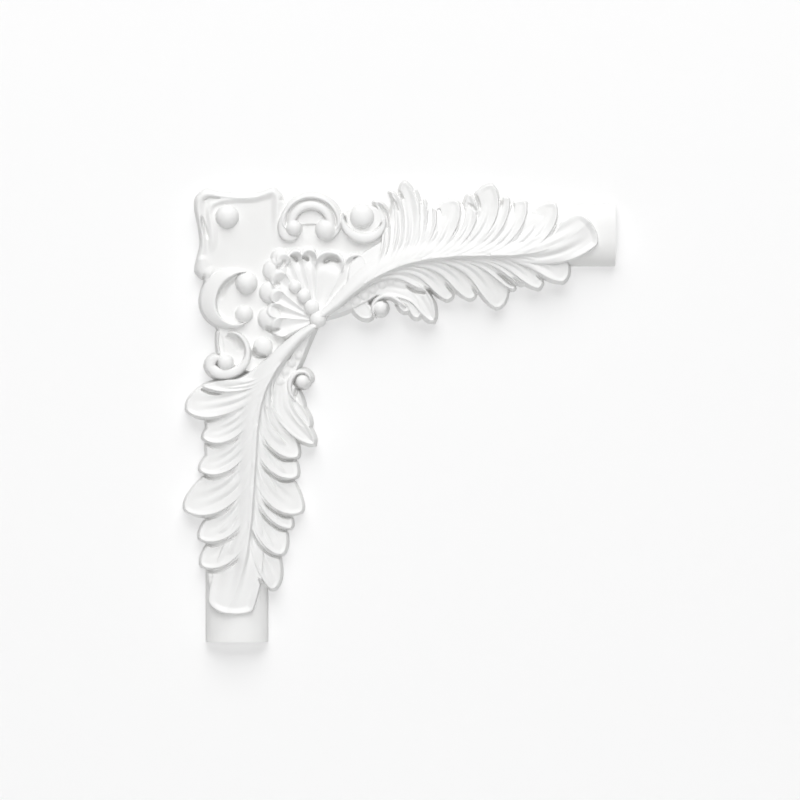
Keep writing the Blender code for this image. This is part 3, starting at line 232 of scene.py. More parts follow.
@dataclass(frozen=True)
class Draft:
    """How the caster's mould lets an edge go.

    Attributes:
        slope: Rise over run of every cut edge.
        inset: How far a top edge lies inside the outline that it casts on the wall.
        soft: Radius over the top edge.
    """

    slope: float = 6.0
    inset: float = 1.6
    soft: float = 1.3

    def edge(self, surface: Grid, inside: Grid, soft: Optional[float] = None,
             slope: Optional[float] = None) -> Grid:
        """Rounds a surface over its outline and drops it outside.

        Args:
            surface: Heights of the face.
            inside: Distances inside the outline.
            soft: Another radius over the edge.
            slope: Another draft.

        Returns:
            The heights with the edge cut.
        """
        r = self.soft if soft is None else soft
        inside = inside - self.inset
        k = np.clip(1 - inside / r, 0, 1)
        drop = r * (1 - np.sqrt(1 - k * k * 0.94))
        return surface - drop - (slope or self.slope) * np.maximum(-inside, 0)


class Relief:
    """Heights above the wall, in drawn millimetres, over a grid of the piece's front."""

    def __init__(self, pitch: float) -> None:
        """Starts an empty field that reaches a little past both ends.

        Args:
            pitch: Spacing of the grid.
        """
        low: Point = (-ORNAMENT_REACH, -DROP_LENGTH / DRAWN - END_ROOM)
        high: Point = (ARM_LENGTH / DRAWN + END_ROOM, ORNAMENT_REACH)
        self.draft = Draft()
        self.xs: Grid = pitch * np.arange(np.floor(low[0] / pitch), np.ceil(high[0] / pitch) + 1)
        self.zs: Grid = pitch * np.arange(np.floor(low[1] / pitch), np.ceil(high[1] / pitch) + 1)
        self.height: Grid = np.full((len(self.zs), len(self.xs)), BELOW)
        self.cuts: List[Tuple[List[Grid], Tuple[float, ...], float]] = []

    def window(self, points: Grid, margin: float = 6.0) -> Tuple[Tuple[slice, slice], Grid, Grid]:
        """The part of the grid about some points.

        Args:
            points: What it has to hold.
            margin: Room left about them.

        Returns:
            Its slices, and its points across and up.
        """
        lo, hi = np.min(points, 0) - margin, np.max(points, 0) + margin
        i = slice(max(0, int(np.searchsorted(self.xs, lo[0]))), int(np.searchsorted(self.xs, hi[0])))
        j = slice(max(0, int(np.searchsorted(self.zs, lo[1]))), int(np.searchsorted(self.zs, hi[1])))
        gx, gz = np.meshgrid(self.xs[i], self.zs[j])
        return (j, i), gx, gz

    def lay(self, where: Tuple[slice, slice], surface: Grid, blend: Union[float, Grid] = 0.4) -> None:
        """Lays a surface over what is there; the higher one shows, with a soft join.

        Args:
            where: The part of the grid.
            surface: Its heights.
            blend: Softness of the join.
        """
        old = self.height[where]
        gap = np.maximum(blend - np.abs(old - surface), 0) / np.maximum(blend, 1e-6)
        self.height[where] = np.maximum(old, surface) + gap * gap * blend / 4

    def tongue(self, spine: Sequence[Point], half: Sequence[float], high: Sequence[float], rim: float = 1.4,
               crest: float = 2.0, vein: float = 0.0, tip: float = 0.3) -> None:
        """A dished tongue with a raised rim, rounded at its tip.

        Args:
            spine: The points it runs through, from root to tip.
            half: Its half width along them.
            high: Its height along them.
            rim: Rise of the rim.
            crest: How far in the rim reaches.
            vein: Depth of a groove down the middle.
            tip: Share of the length that rounds off.
        """
        line = curve(spine)
        t = np.linspace(0, 1, len(line))
        over = np.clip((t - 1 + tip) / tip, 0, 1)
        width = along(half, t) * np.sqrt(np.maximum(1 - over**2.2, 0)) + 0.02
        outline = ribbon(line, width)
        where, gx, gz = self.window(outline)
        inside = depth_inside(outline, gx, gz)
        s_t, off = place_on(line, gx, gz)
        s = np.clip(off / np.maximum(along(half, s_t), 0.8), -1.3, 1.3)
        grown = smooth((s_t - 0.12) / 0.35)
        surface = along(high, s_t) + rim * grown * (1 - smooth((inside - crest * 0.6) / (crest * 1.4)))
        surface -= vein * grown * np.exp(-((s / 0.2) ** 2)) * smooth((inside - crest * 0.5) / 2.0)
        self.lay(where, self.draft.edge(surface, inside))

    def band(self, path: Sequence[Point], half: Sequence[float], high: Sequence[float],
             section: Callable[[Grid], Grid], blend: float = 0.4,
             ends: Tuple[float, float] = (0.06, 0.06)) -> None:
        """A scroll's band, winding along a path.

        Args:
            path: The points it runs through.
            half: Its half width along them.
            high: Its height along them.
            section: Rise across it, from -1 on the path's right to 1 on its left.
            blend: Softness of its join with what is under it.
            ends: Shares of the length that round off.
        """
        line = curve(path, 60)
        t = np.linspace(0, 1, len(line))
        cap = np.minimum(1, np.minimum(t / max(ends[0], 1e-6), (1 - t) / max(ends[1], 1e-6)))
        width = along(half, t) * np.sqrt(np.maximum(1 - (1 - cap) ** 2, 0)) + 0.02
        where, gx, gz = self.window(ribbon(line, width))
        s_t, off = place_on(line, gx, gz)
        w = np.maximum(np.interp(s_t, t, width), 0.05)
        s = np.clip(off / np.maximum(w, 0.5), -1, 1)
        surface = along(high, s_t) + section(s)
        self.lay(where, self.draft.edge(surface, w - np.abs(off), 0.9), blend)

    def plate(self, outline: Sequence[Point], high: float, soft: float = 1.0, blend: float = 0.4) -> None:
        """A flat field with a smooth outline.

        Args:
            outline: The points its outline runs through.
            high: Its height.
            soft: Radius over its edge.
            blend: Softness of its join.
        """
        p = curve(list(outline) + [outline[0]], 90)[:-1]
        where, gx, gz = self.window(p)
        inside = depth_inside(p, gx, gz)
        self.lay(where, self.draft.edge(np.full(gx.shape, float(high)), inside, soft), blend)

    def ball(self, centre: Point, radius: float, seat: float, flat: float = 0.8,
             blend: float = 0.25) -> None:
        """A round boss.

        Args:
            centre: Where it stands.
            radius: Its radius.
            seat: Height of its rim.
            flat: Its rise for each millimetre of radius.
            blend: Softness of its join.
        """
        c = np.asarray(centre, float)
        where, gx, gz = self.window(c[None], radius + 2)
        d = np.hypot(gx - c[0], gz - c[1])
        dome = seat + flat * np.sqrt(np.maximum(radius**2 - d**2, 0)) - 6 * np.maximum(d - radius, 0)
        self.lay(where, np.where(d < radius + 1.5, dome, BELOW), blend)

    def pit(self, spine: Sequence[Sequence[float]], half: Sequence[float], deep: float, taper: float = 0.0,
            taper_last: Optional[float] = None) -> None:
        """A hollow cut along a short line.

        Args:
            spine: The line's points.
            half: Its half width along them.
            deep: Its depth on the line.
            taper: Share of its length over which it starts.
            taper_last: Share over which it runs out, the same if none is given.
        """
        line = curve([tuple(p) for p in spine], 5 * len(spine))
        where, gx, gz = self.window(line, max(half) + 3)
        s_t, off = place_on(line, gx, gz)
        d = np.abs(off) / np.maximum(along(half, s_t), 0.1)
        last = taper if taper_last is None else taper_last
        full = (smooth(s_t / taper) if taper else 1.0) * (smooth((1 - s_t) / last) if last else 1.0)
        self.height[where] -= deep * full * (1 - smooth(d)) * (self.height[where] > 0)

    def swell(self, spine: Sequence[Sequence[float]], half: Sequence[float], rise: float) -> None:
        """A soft ridge raised along a line, out of what is there."""
        self.pit(spine, half, -rise, 0.2)

    def cut_later(self, spine: List[Grid], half: Tuple[float, ...], deep: float) -> None:
        """Keeps a hollow to be cut when all the surfaces are laid."""
        self.cuts.append((spine, half, deep))

    def make_cuts(self) -> None:
        """Cuts the hollows that were kept."""
        for spine, half, deep in self.cuts:
            self.pit(spine, half, deep, 0.3, 0.0)
        self.cuts = []


def roll(rise: float) -> Callable[[Grid], Grid]:
    """A section that bulges in its middle."""
    return lambda s: rise * (1 - s * s)


def lipped(rise: float, crest: float = 0.72) -> Callable[[Grid], Grid]:
    """A section with its lip on the path's left.

    Args:
        rise: Rise of the lip.
        crest: Where the lip stands across the band.

    Returns:
        The section, falling over a convex back to the right.
    """
    def section(s: Grid) -> Grid:
        """Rise across the band."""
        outer = np.clip((crest - s) / (1 + crest), 0, 1)
        inner = np.clip((s - crest) / (1 - crest), 0, 1)
        return rise * (1 - outer**1.6) - 0.8 * rise * inner**1.5
    return section


class Arm(Enum):
    """The two runs that the leaves lie on."""

    TOP = "top"
    SIDE = "side"


@dataclass(frozen=True)
class Lobe:
    """One lobe of a long leaf.

    Attributes:
        root: Where it leaves the midrib, measured along its arm.
        tip: Where it ends.
        aim: Heading of its tip in degrees.
        half: Its half width on its free side, where its edge lies over the next lobe.
        free: Which edge is free: 1 for the one towards the leaf's end, -1 for the one towards its root.
        tuck: How many half widths it reaches under its neighbour on its other side.
        lead: How long it keeps to the midrib before it turns out.
        hook: How long it keeps its last heading.
        rise: Rise from its middle to its free edge.
        rim: Rise of the rim round its tip.
        dish: Depth of its hollow.
        lift: How far it stands above its neighbours.
        flutes: Place across it, depth and width of each long groove in it.
        rounding: Share of its length that rounds off into the tip.
        eye: Share of its length at which the cleft beside its free edge starts, or 0 for none.
        cleft: Half width and depth of that cleft.
    """

    root: float
    tip: Point
    aim: float
    half: float
    free: int = 1
    tuck: float = 1.9
    lead: float = 0.55
    hook: float = 0.3
    rise: float = 1.8
    rim: float = 0.8
    dish: float = 1.0
    lift: float = 0.0
    flutes: Tuple[Tuple[float, float, float], ...] = (
        (-1.05, 1.1, 0.24), (-0.42, 1.8, 0.22), (0.22, 1.3, 0.18))
    rounding: float = 0.3
    eye: float = 0.6
    cleft: Tuple[float, float] = (1.5, 4.2)


@dataclass(frozen=True)
class LongLeaf:
    """One of the two long acanthus leaves that the plain runs come out of.

    Attributes:
        arm: The run it lies on.
        rib: What its midrib passes through.
        body: Outline of its body under the lobes, out to the eyes between them.
        lobes: Its lobes, each lying over the one before.
        crown: Height of its face along the midrib.
        fall: Fall of its face to both sides.
        step: Step down on the side that faces the inside of the corner.
        hollows: Further hollows beside its lobes, as points, half widths and depth.
        rib_half: Half width of the midrib along it.
        rib_rise: Rise of the midrib along it.
    """

    arm: Arm
    rib: Tuple[Point, ...]
    body: Tuple[Point, ...]
    lobes: Tuple[Lobe, ...]
    hollows: Tuple[Tuple[Tuple[Point, ...], Tuple[float, ...], float], ...] = ()
    crown: Tuple[float, ...] = (20.0, 20.5, 20.0, 19.6, 19.2, 18.8, 18.0, 17.0)
    fall: float = 0.22
    step: float = 2.4
    rib_half: Tuple[float, ...] = (1.6, 3.6, 5.0, 4.6, 3.6, 3.0, 2.4, 2.0)
    rib_rise: Tuple[float, ...] = (1.0, 1.3, 1.2, 0.9, 0.7, 0.5, 0.2, 0.0)

    def midrib(self) -> Grid:
        """The midrib's line."""
        return curve(self.rib, 120)

    def at(self, root: float) -> Tuple[Grid, Grid]:
        """Where a lobe leaves the midrib.

        Args:
            root: Distance along the arm.

        Returns:
            The point there, and the midrib's direction.
        """
        line = self.midrib()
        run = line[:, 0] if self.arm is Arm.TOP else -line[:, 1]
        k = int(np.clip(np.searchsorted(run, root), 1, len(run) - 2))
        d = line[k + 1] - line[k - 1]
        return line[k], d / np.hypot(*d)

    def face(self, gx: Grid, gz: Grid) -> Grid:
        """The leaf's own surface: high along the midrib, falling away to both sides.

        Args:
            gx: Points across.
            gz: Points up.

        Returns:
            Its heights.
        """
        t, off = place_on(self.midrib(), gx, gz)
        inner = -1.0 if self.arm is Arm.TOP else 1.0
        step = self.step * smooth((off * inner - 0.3) / 1.3) * (1 - smooth((t - 0.62) / 0.2))
        return along(self.crown, t) - self.fall * np.abs(off) + 0.0012 * off * off - step

    def carve_body(self, relief: Relief) -> None:
        """Lays the body that the lobes lie on."""
        p = curve(self.body + self.body[:1], 150)[:-1]
        where, gx, gz = relief.window(p)
        inside = depth_inside(p, gx, gz)
        relief.lay(where, relief.draft.edge(self.face(gx, gz) - 2.0, inside, 1.2), 0.4)

    def carve_lobe(self, relief: Relief, lobe: Lobe) -> None:
        """Lays one lobe: a round strand at the midrib that opens into a fluted, rimmed spoon.

        Args:
            relief: The field it is laid in.
            lobe: Its sizes.
        """
        start, way = self.at(lobe.root)
        tip = np.asarray(lobe.tip, float)
        reach = float(np.hypot(*(tip - start)))
        line = bend(start, start + way * lobe.lead * reach, tip - heading(lobe.aim) * lobe.hook * reach,
                    tip)
        run = np.concatenate([[0], np.cumsum(np.hypot(*np.diff(line, axis=0).T))])
        t = run / run[-1]
        step = np.gradient(line, axis=0)
        left = np.column_stack([-step[:, 1], step[:, 0]]) / np.maximum(np.hypot(*step.T), 1e-9)[:, None]
        middle = len(line) // 2
        side = float(np.sign(way @ left[middle])) * lobe.free

        over = np.clip((t - 1 + lobe.rounding) / lobe.rounding, 0, 1)
        cap = np.sqrt(np.maximum(1 - over**2.3, 0))
        halves = (2.4, 1.0 + 0.6 * lobe.half, lobe.half, 0.98 * lobe.half)
        tucks = (1.0, 0.5 + 0.5 * lobe.tuck, lobe.tuck, lobe.tuck, 0.1 + 0.85 * lobe.tuck,
                 0.2 + 0.7 * lobe.tuck)
        free_half = along(halves, t) * cap + 0.02
        other_half = along(halves, t) * along(tucks, t) * cap + 0.02
        to_free, to_other = left * side * free_half[:, None], -left * side * other_half[:, None]
        outline = np.vstack([line + to_free, (line + to_other)[::-1]])

        where, gx, gz = relief.window(outline)
        inside = depth_inside(outline, gx, gz)
        s_t, off = place_on(line, gx, gz)
        s = np.clip(off * side / np.maximum(along(halves, s_t), 1.0), -2.4, 1.2)
        opened = smooth((s_t - 0.48) / 0.34)
        within = np.clip(s, -1, 1)
        surface = self.face(gx, gz) + lobe.lift + 0.8 * (1 - within**2) * (1 - opened)
        surface += opened * (lobe.rise * s - lobe.dish * (1 - within**2))
        crest = 2.0 + 0.16 * lobe.half
        near_edge = 1 - smooth((inside - relief.draft.inset) / crest)
        surface += lobe.rim * opened * near_edge * smooth((s + 1.0) / 0.8)
        kept = smooth((s_t - 0.1) / 0.25) * (1 - smooth((s_t - 0.55) / 0.38))
        for place, deep, wide in lobe.flutes:
            surface -= deep * kept * np.exp(-(((s - place) / wide) ** 2))
        relief.lay(where, relief.draft.edge(surface, inside, 0.8),
                   0.25 + 1.6 * (1 - smooth((s_t - 0.2) / 0.35)))
        self.keep_cleft(relief, lobe, t, line, to_free)

    def keep_cleft(self, relief: Relief, lobe: Lobe, t: Grid, line: Grid, free: Grid) -> None:
        """Keeps a lobe's cleft for when every lobe is laid.

        Args:
            relief: The field it is cut in.
            lobe: The lobe's sizes.
            t: Shares of its middle line's length.
            line: The middle line.
            free: From the line to its free edge.
        """
        def spot(share: float, beyond: float) -> Grid:
            """A point that far outside the free edge."""
            k = int(np.clip(np.searchsorted(t, share), 1, len(line) - 2))
            return line[k] + free[k] * (1.0 + beyond / max(float(np.hypot(*free[k])), 1e-6))

        if lobe.eye:
            shares = np.linspace(lobe.eye, 0.98, 5)
            wide, deep = lobe.cleft
            outside = (0.36, 0.54, 0.66, 0.72, 0.6)
            cleft = [spot(share, wide * gap) for share, gap in zip(shares, outside)]
            relief.cut_later(cleft, (0.5 * wide, 0.85 * wide, wide, wide, 0.9 * wide), deep)

    def carve_rib(self, relief: Relief) -> None:
        """Lays the midrib over the lobes' roots."""
        line = self.midrib()
        where, gx, gz = relief.window(line, 14)
        t, off = place_on(line, gx, gz)
        half = along(self.rib_half, t)
        outer = -1.0 if self.arm is Arm.SIDE else 1.0
        u = (off * outer - half) / half
        crown = self.face(gx, gz) + along(self.rib_rise, t) * (1 - u**2) - 14.0 * smooth((t - 0.74) / 0.18)
        relief.lay(where, np.where((np.abs(u) < 1.6) & (t < 0.94), crown, BELOW), 1.4)

    def carve(self, relief: Relief) -> None:
        """Lays the whole leaf."""
        self.carve_body(relief)
        for lobe in self.lobes:
            self.carve_lobe(relief, lobe)
        self.carve_rib(relief)
        for line, half, deep in self.hollows:
            relief.cut_later([np.array(point) for point in line], half, deep)


def top_leaf() -> LongLeaf:
    """The long leaf on the top run."""
    rib = ((60, -58), (70, -51), (80, -42.5), (90, -34.5), (100, -28.5), (112, -23), (125, -19),
           (140, -16.5),
           (160, -15), (190, -14.5), (210, -12), (226, -6), (238, 2), (246, 9), (260, 21))
    body = ((60, -57), (74, -40), (78, -20), (90, -10), (103, 0), (108, 22), (118, 28), (127, 20),
            (133, 15),
            (141, 13), (150, 17), (158, 19), (168, 26), (177, 24), (188, 19), (205, 18.5), (222, 16),
            (233, 12),
            (242, 4), (236, -9), (228, -19), (215, -29), (200, -32), (191, -37), (184, -42), (171, -42),
            (153, -38),
            (139, -36), (122, -30), (106, -28), (92, -34), (76, -46))
    upper = (
        Lobe(88, (94.5, 22.5), 190, 4.4, lead=0.5, hook=0.2, rounding=0.2, rise=0.6, tuck=1.0, eye=0.8),
        Lobe(94, (105.5, 29.5), 195, 4.8, lead=0.5, hook=0.16, rise=0.6, tuck=1.0, eye=0.82),
        Lobe(97, (117, 38.2), 98, 7.6, hook=0.35, rise=0.6, tuck=1.2, eye=0.8),
        Lobe(100, (125, 32.5), 84, 5.0, hook=0.4, lift=-0.3, tuck=1.5, eye=0.8),
        Lobe(103, (131, 25.5), 80, 5.4, hook=0.4, lift=-0.3, tuck=1.5, eye=0.72),
        Lobe(107, (139, 19.5), 60, 6.4, lift=-0.2, eye=0.7),
        Lobe(118, (155, 24.0), 55, 8.0),
        Lobe(126, (161.5, 29), 108, 6.4, tuck=1.2, eye=0.8),
        Lobe(133, (177, 36.3), 92, 8.6, rise=0.8, eye=0.75),
        Lobe(142, (189.5, 27), 68, 6.6, lift=-0.3, tuck=1.6, eye=0.75),
        Lobe(154, (202, 24.2), 60, 7.2),
        Lobe(172, (222.5, 22.6), 62, 8.0, eye=0.66),
    )
    end = (
        Lobe(180, (249.5, 7.5), 34, 15.2, tuck=1.0, rise=0.4, rim=1.8, dish=1.6, lift=0.1, rounding=0.12,
             eye=0,
             lead=0.5, hook=0.3, flutes=((-0.5, 1.3, 0.16), (-0.05, 1.2, 0.14), (0.4, 1.3, 0.14))),
    )
    lower = (
        Lobe(172, (230, -33.4), -48, 8.4, free=-1, cleft=(1.9, 4.8)),
        Lobe(154, (212.5, -38.4), -50, 7.0, free=-1, cleft=(1.9, 4.8)),
        Lobe(146, (201, -36.4), -60, 6.2, free=-1, cleft=(1.9, 4.8)),
        Lobe(136, (194.5, -39.4), -50, 5.6, free=-1, lift=-0.4, eye=0),
        Lobe(128, (183, -52.8), -74, 8.6, free=-1, cleft=(1.9, 4.8)),
        Lobe(112, (164.5, -46.4), -68, 8.0, free=-1, cleft=(1.9, 4.8)),
        Lobe(100, (148, -47.2), -74, 7.4, free=-1, cleft=(1.9, 4.8)),
        Lobe(90, (134, -39.5), -58, 6.8, free=-1, cleft=(1.9, 4.8)),
        Lobe(80, (123, -34), -45, 4.6, free=-1, lift=-1.2, eye=0),
    )
    hollows = (
        (((97.4, 22.0), (102.0, 18.4), (105.0, 12.0), (105.6, 5.0)), (1.4, 2.0, 1.6, 0.9), 3.6),
        (((104.8, 26.8), (109.6, 23.4), (112.6, 17.0)), (1.2, 1.7, 0.9), 3.0),
        (((160.0, 22.4), (166.0, 18.0), (168.4, 10.0)), (1.2, 1.6, 0.8), 2.2),
    )
    return LongLeaf(Arm.TOP, rib, body, upper + end + lower, hollows)


def side_leaf() -> LongLeaf:
    """The long leaf on the side run."""
    rib = ((54, -66), (45, -73.5), (36, -83.5), (28, -94), (22, -104.5), (18, -115), (15.5, -127),
           (14, -141),
           (13, -158), (11.5, -180), (9.5, -205), (6, -228), (0, -248), (-6, -262), (-12, -280))
    body = ((54, -64), (38, -76), (20, -86), (4, -98), (-16, -103), (-24, -112), (-24, -126), (-22.5, -134),
            (-23, -148), (-22, -160), (-23, -172), (-26, -184), (-23, -200), (-22, -211), (-22.5, -221),
            (-21.5, -239), (-18, -252), (-8, -259), (4, -257), (13, -248), (18, -240), (25, -228),
            (30, -211), (33, -203),
            (38, -190), (35, -176), (36, -165), (34, -152), (28, -138), (26, -122), (26, -110), (36, -90),
            (48, -74))
    outer = (
        Lobe(88, (-25, -106.0), 182, 4.4, eye=0.75, tuck=1.3),
        Lobe(92, (-36.5, -121.5), 186, 9.6, lead=0.45),
        Lobe(104, (-24.8, -141.0), 176, 7.4),
        Lobe(118, (-27.2, -163.0), 176, 7.8),
        Lobe(136, (-38.0, -190.0), 182, 10.4),
        Lobe(156, (-27.6, -211), 186, 8.6),
        Lobe(176, (-26.4, -230), 190, 8.6),
    )
    end = (
        Lobe(172, (-6.0, -266.0), 262, 18.4, tuck=1.0, rise=0.4, rim=1.8, dish=1.6, lift=0.0, rounding=0.1,
             eye=0,
             lead=0.5, hook=0.25, flutes=((-0.6, 1.3, 0.14), (-0.15, 1.3, 0.13), (0.3, 1.3, 0.13))),
    )
    inner = (
        Lobe(94, (24, -123.4), -84, 5.4, lift=-0.6, eye=0, tuck=1.0),
        Lobe(100, (44.5, -155), -22, 7.6),
        Lobe(112, (44, -168.5), -18, 8.4),
        Lobe(130, (47.6, -192.5), -14, 9.4),
        Lobe(142, (39.5, -205.5), -35, 6.6, lift=-0.4),
        Lobe(158, (33.2, -224), -50, 8.2),
        Lobe(180, (25.5, -249), -80, 7.0, eye=0.8),
    )
    return LongLeaf(Arm.SIDE, rib, body, outer + end + inner)


@dataclass(frozen=True)
class Tablet:
    """The plain field with a soft border and a stud at the corner of the corner.

    Attributes:
        ground: Height of the field, and of the ground that the scrolls stand on.
        stud: The stud's place.
        stud_radius: Its radius.
        outline: What the tablet's outline runs through.
        under: What the outline of the ground under the scrolls runs through.
        border: The ridge that runs round the field.
        fold: The softer ridge inside it.
    """

    ground: float = 11.0
    stud: Point = (-6.5, 12.5)
    stud_radius: float = 8.2
    outline: Tuple[Point, ...] = (
        (-29, 27), (-25, 31), (-20, 32.7), (-14, 31), (-7, 30), (2, 29.3), (12, 29.5), (18, 31), (25, 33.5),
        (29, 31.5), (33, 26), (30, 18), (28, 8), (28, -4), (26, -14), (12, -24), (4, -24), (-11, -25),
                                  (-17, -29.5),
        (-22, -30.5), (-25, -31.5), (-29.5, -27), (-30, -23), (-29, -18), (-27.5, -12), (-26.5, -8),
                                  (-26.5, -2),
        (-27.5, 5), (-29, 12), (-30, 18), (-30, 24))
    under: Tuple[Point, ...] = (
        (-24, -20), (-20, 20), (26, 26), (40, 20), (74, 10), (92, 12), (106, 2), (112, -20), (90, -38),
                                (60, -62),
        (36, -80), (18, -98), (-4, -92), (-10, -84), (-12, -72), (-22, -50))
    border: Tuple[Point, ...] = (
        (-24.6, -27), (-25.4, -20), (-24.6, -12), (-24.0, -4), (-24.8, 6), (-26.4, 16), (-26.0, 23.6),
        (-20.6, 28.0), (-12, 27.0),
        (0, 25.6), (11, 26.0), (19, 28.2), (25.4, 29.6), (28.6, 25.2), (28.4, 16), (28.0, 7), (26.6, -6))
    fold: Tuple[Point, ...] = (
        (-17.6, -14), (-16.8, -6), (-16.8, 2), (-17.8, 9), (-19.0, 15), (-17.6, 20.0), (-13.0, 22.6),
                               (-6, 23.2),
        (1, 22.6))

    def carve(self, relief: Relief) -> None:
        """Lays the ground, the field, its border and the stud."""
        relief.plate(self.under, self.ground)
        relief.plate(self.outline, self.ground, 2.4, 0.0)
        relief.swell(self.border, (4.6, 4.8, 5.0, 5.0, 4.6, 4.2, 4.4, 5.2, 5.2, 4.6, 2.6), 2.0)
        relief.swell(self.fold, (2.6, 4.2, 4.4, 4.2, 3.8, 3.2, 2.8, 2.4, 1.4), 1.5)
        relief.swell([(-25.0, -14), (-23.6, -20.5), (-22.2, -25), (-15, -29)], (4.4, 7.6, 7.6, 4.6), 2.0)
        relief.pit([(-24.6, 14), (-23.4, 8), (-21.6, 2), (-19.8, -4)], (1.0, 2.0, 2.2, 1.2), 4.2, 0.3)
        relief.pit([(-22.4, 24.0), (-18.6, 25.4), (-12, 25.2)], (0.9, 1.5, 0.7), 1.4)
        relief.ball(self.stud, self.stud_radius, self.ground - 0.4, 0.8, 0.6)


@dataclass(frozen=True)
class Scrolls:
    """The four scrolls between the tablet and the palmette.

    Attributes:
        ground: Height of the ground they stand on.
        arch: Middle of the arch at the top.
        arch_radius: Radius of the middle of its band.
    """

    ground: float = 11.0
    arch: Point = (52.0, 6.5)
    arch_radius: float = 16.2

    def carve_arch(self, relief: Relief) -> None:
        """Lays the arch with a volute at each foot."""
        cx, cz = self.arch
        relief.plate(arc(cx, cz, 12, 180, 0, 9) + [(61, 5), (52, 5.4), (43, 5)], 12.4, 0.8)

        def section(s: Grid) -> Grid:
            """A thin rim, a groove and a broad rolled body inside it."""
            rim = 1.5 * smooth((s - 0.30) / 0.14) * (1 - 0.75 * smooth((s - 0.52) / 0.48))
            groove = 2.6 * np.exp(-(((s - 0.20) / 0.15) ** 2))
            return rim - groove + 2.0 * np.maximum(1 - ((s + 0.40) / 0.60) ** 2, 0)

        relief.band(arc(cx, cz, self.arch_radius, 192, -14, 22), (6.8,), (14.4,), section, 0.6,
                    (0.16, 0.16))
        relief.band([(36.6, 19.0), (33.0, 12), (32.0, 5.6), (33.8, -0.4), (38.6, -2.6), (43.4, -1.4)],
                    (1.4, 3.2, 4.2, 4.8, 4.2, 2.4), (13.4, 14.2, 13.8, 13.2, 12.4), roll(1.6), 1.6,
                    (0.2, 0.1))
        relief.ball((40, 4.5), 5.6, 13.6, 0.85, 1.0)
        relief.band([(67.6, 17.0), (71.0, 11), (70.6, 4), (66.6, -1.0), (61.4, -2.0), (57.0, 0.2)],
                    (1.2, 2.4, 3.2, 3.4, 3.2, 2.0), (13.4, 14.0, 13.8, 13.2, 12.4), roll(1.4), 1.6,
                    (0.2, 0.1))
        relief.ball((62.4, 3.4), 7.2, 13.0, 0.68, 1.0)

    def carve_side(self, relief: Relief) -> None:
        """Lays the C scroll on the left with a ball at each end."""
        path = [(9, -26.4), (1, -25.6), (-8, -28.2), (-15.6, -34.6), (-19.4, -44), (-18.6, -53),
                (-13.6, -60),
                (-6, -63.6), (2, -63.8), (8, -60.4)]
        relief.band(path, (1.4, 3.4, 5.6, 6.8, 7.2, 7.0, 5.6, 3.8, 2.6, 1.6),
                    (12.0, 12.2, 11.8, 11.4, 11.4, 11.8, 12.2), lipped(4.6, 0.66), 0.8, (0.05, 0.05))
        relief.ball((7, -33.8), 7.6, 12.2, 0.8, 0.6)
        relief.ball((5.4, -55.4), 6.2, 11.4, 0.75, 1.2)
        relief.pit([(2, -29.6), (-5, -33), (-9.6, -39), (-10.8, -47)], (2.4, 3.4, 3.6, 3.0), 2.2, 0.3)

    def carve_lower(self, relief: Relief) -> None:
        """Lays the scroll under it."""
        relief.plate([(-13.5, -66), (-15.4, -74), (-14.8, -81), (-12, -88), (0, -92), (6, -82), (3, -72),
                      (-6, -66)],
                     self.ground - 0.4, 1.0, 1.0)
        path = [(-7.4, -68.4), (-0.6, -68.8), (5.2, -73.4), (8.0, -80.8), (6.6, -88.6), (1.0, -94.6),
                (-6.6, -97.2),
                (-14, -96.0), (-18.2, -91.6), (-15.6, -87.0), (-10, -85.6)]
        relief.band(path, (1.2, 2.4, 2.9, 3.3, 3.6, 4.0, 4.6, 5.0, 5.0, 4.4, 3.0),
                    (13.4, 14.0, 14.2, 14.2, 14.0, 13.8, 14.2), roll(1.8), 1.2, (0.04, 0.06))
        relief.band([(-12.6, -67), (-13.2, -75), (-12, -84)], (2.4, 2.0, 2.4), (12.4, 12.6, 13.0),
                    roll(0.9), 1.2,
                    (0.1, 0.1))
        relief.ball((-7.5, -89.4), 5.4, 14.0, 0.7, 0.6)
        relief.pit([(-5.6, -71.6), (-0.6, -73.4), (1.8, -79)], (2.4, 4.0, 3.4), 2.2)

    def carve_right(self, relief: Relief) -> None:
        """Lays the scroll between the arch and the top leaf."""
        relief.plate([(74, 14), (78, 3), (88, -2), (99, 3), (103, 12), (98, 20), (88, 20.4), (79, 18)],
                     self.ground + 1.2, 1.0, 1.0)
        path = [(74.6, 16.0), (73.8, 10.0), (77.0, 3.2), (83.2, -1.4), (90.0, -2.8), (97.2, -0.6),
                (102.2, 5.0),
                (103.4, 11.4)]
        relief.band(path, (1.8, 3.0, 4.0, 4.6, 4.8, 4.4, 3.4, 2.2),
                    (13.6, 14.2, 14.6, 14.8, 14.8, 14.4, 14), roll(1.8), 0.8, (0.06, 0.06))
        relief.ball((87.6, 12.2), 8.2, 12.8, 0.56, 1.6)
        relief.band([(80.4, 12.0), (82.6, 6.2), (88.0, 3.4), (94.4, 5.0), (97.4, 10.4)],
                    (0.8, 1.2, 1.4, 1.2, 0.8),
                    (14.6,), roll(0.9), 0.6, (0.1, 0.1))
        relief.pit([(84.0, 6.0), (88.4, 4.8), (93.4, 7.2)], (1.0, 1.4, 1.0), 2.2, 0.3)

    def carve_knob(self, relief: Relief) -> None:
        """Lays the knob beside the lower one, and cuts the pocket under it."""
        relief.ball((18.4, -78.4), 6.6, 12.6, 0.6, 1.6)
        relief.pit([(12.6, -80.4), (13.4, -84.0), (19.6, -85.0)], (1.8, 2.8, 1.4), 5.0)

    def carve(self, relief: Relief) -> None:
        """Lays all four, and the knob."""
        self.carve_arch(relief)
        self.carve_side(relief)
        self.carve_lower(relief)
        self.carve_right(relief)
        self.carve_knob(relief)


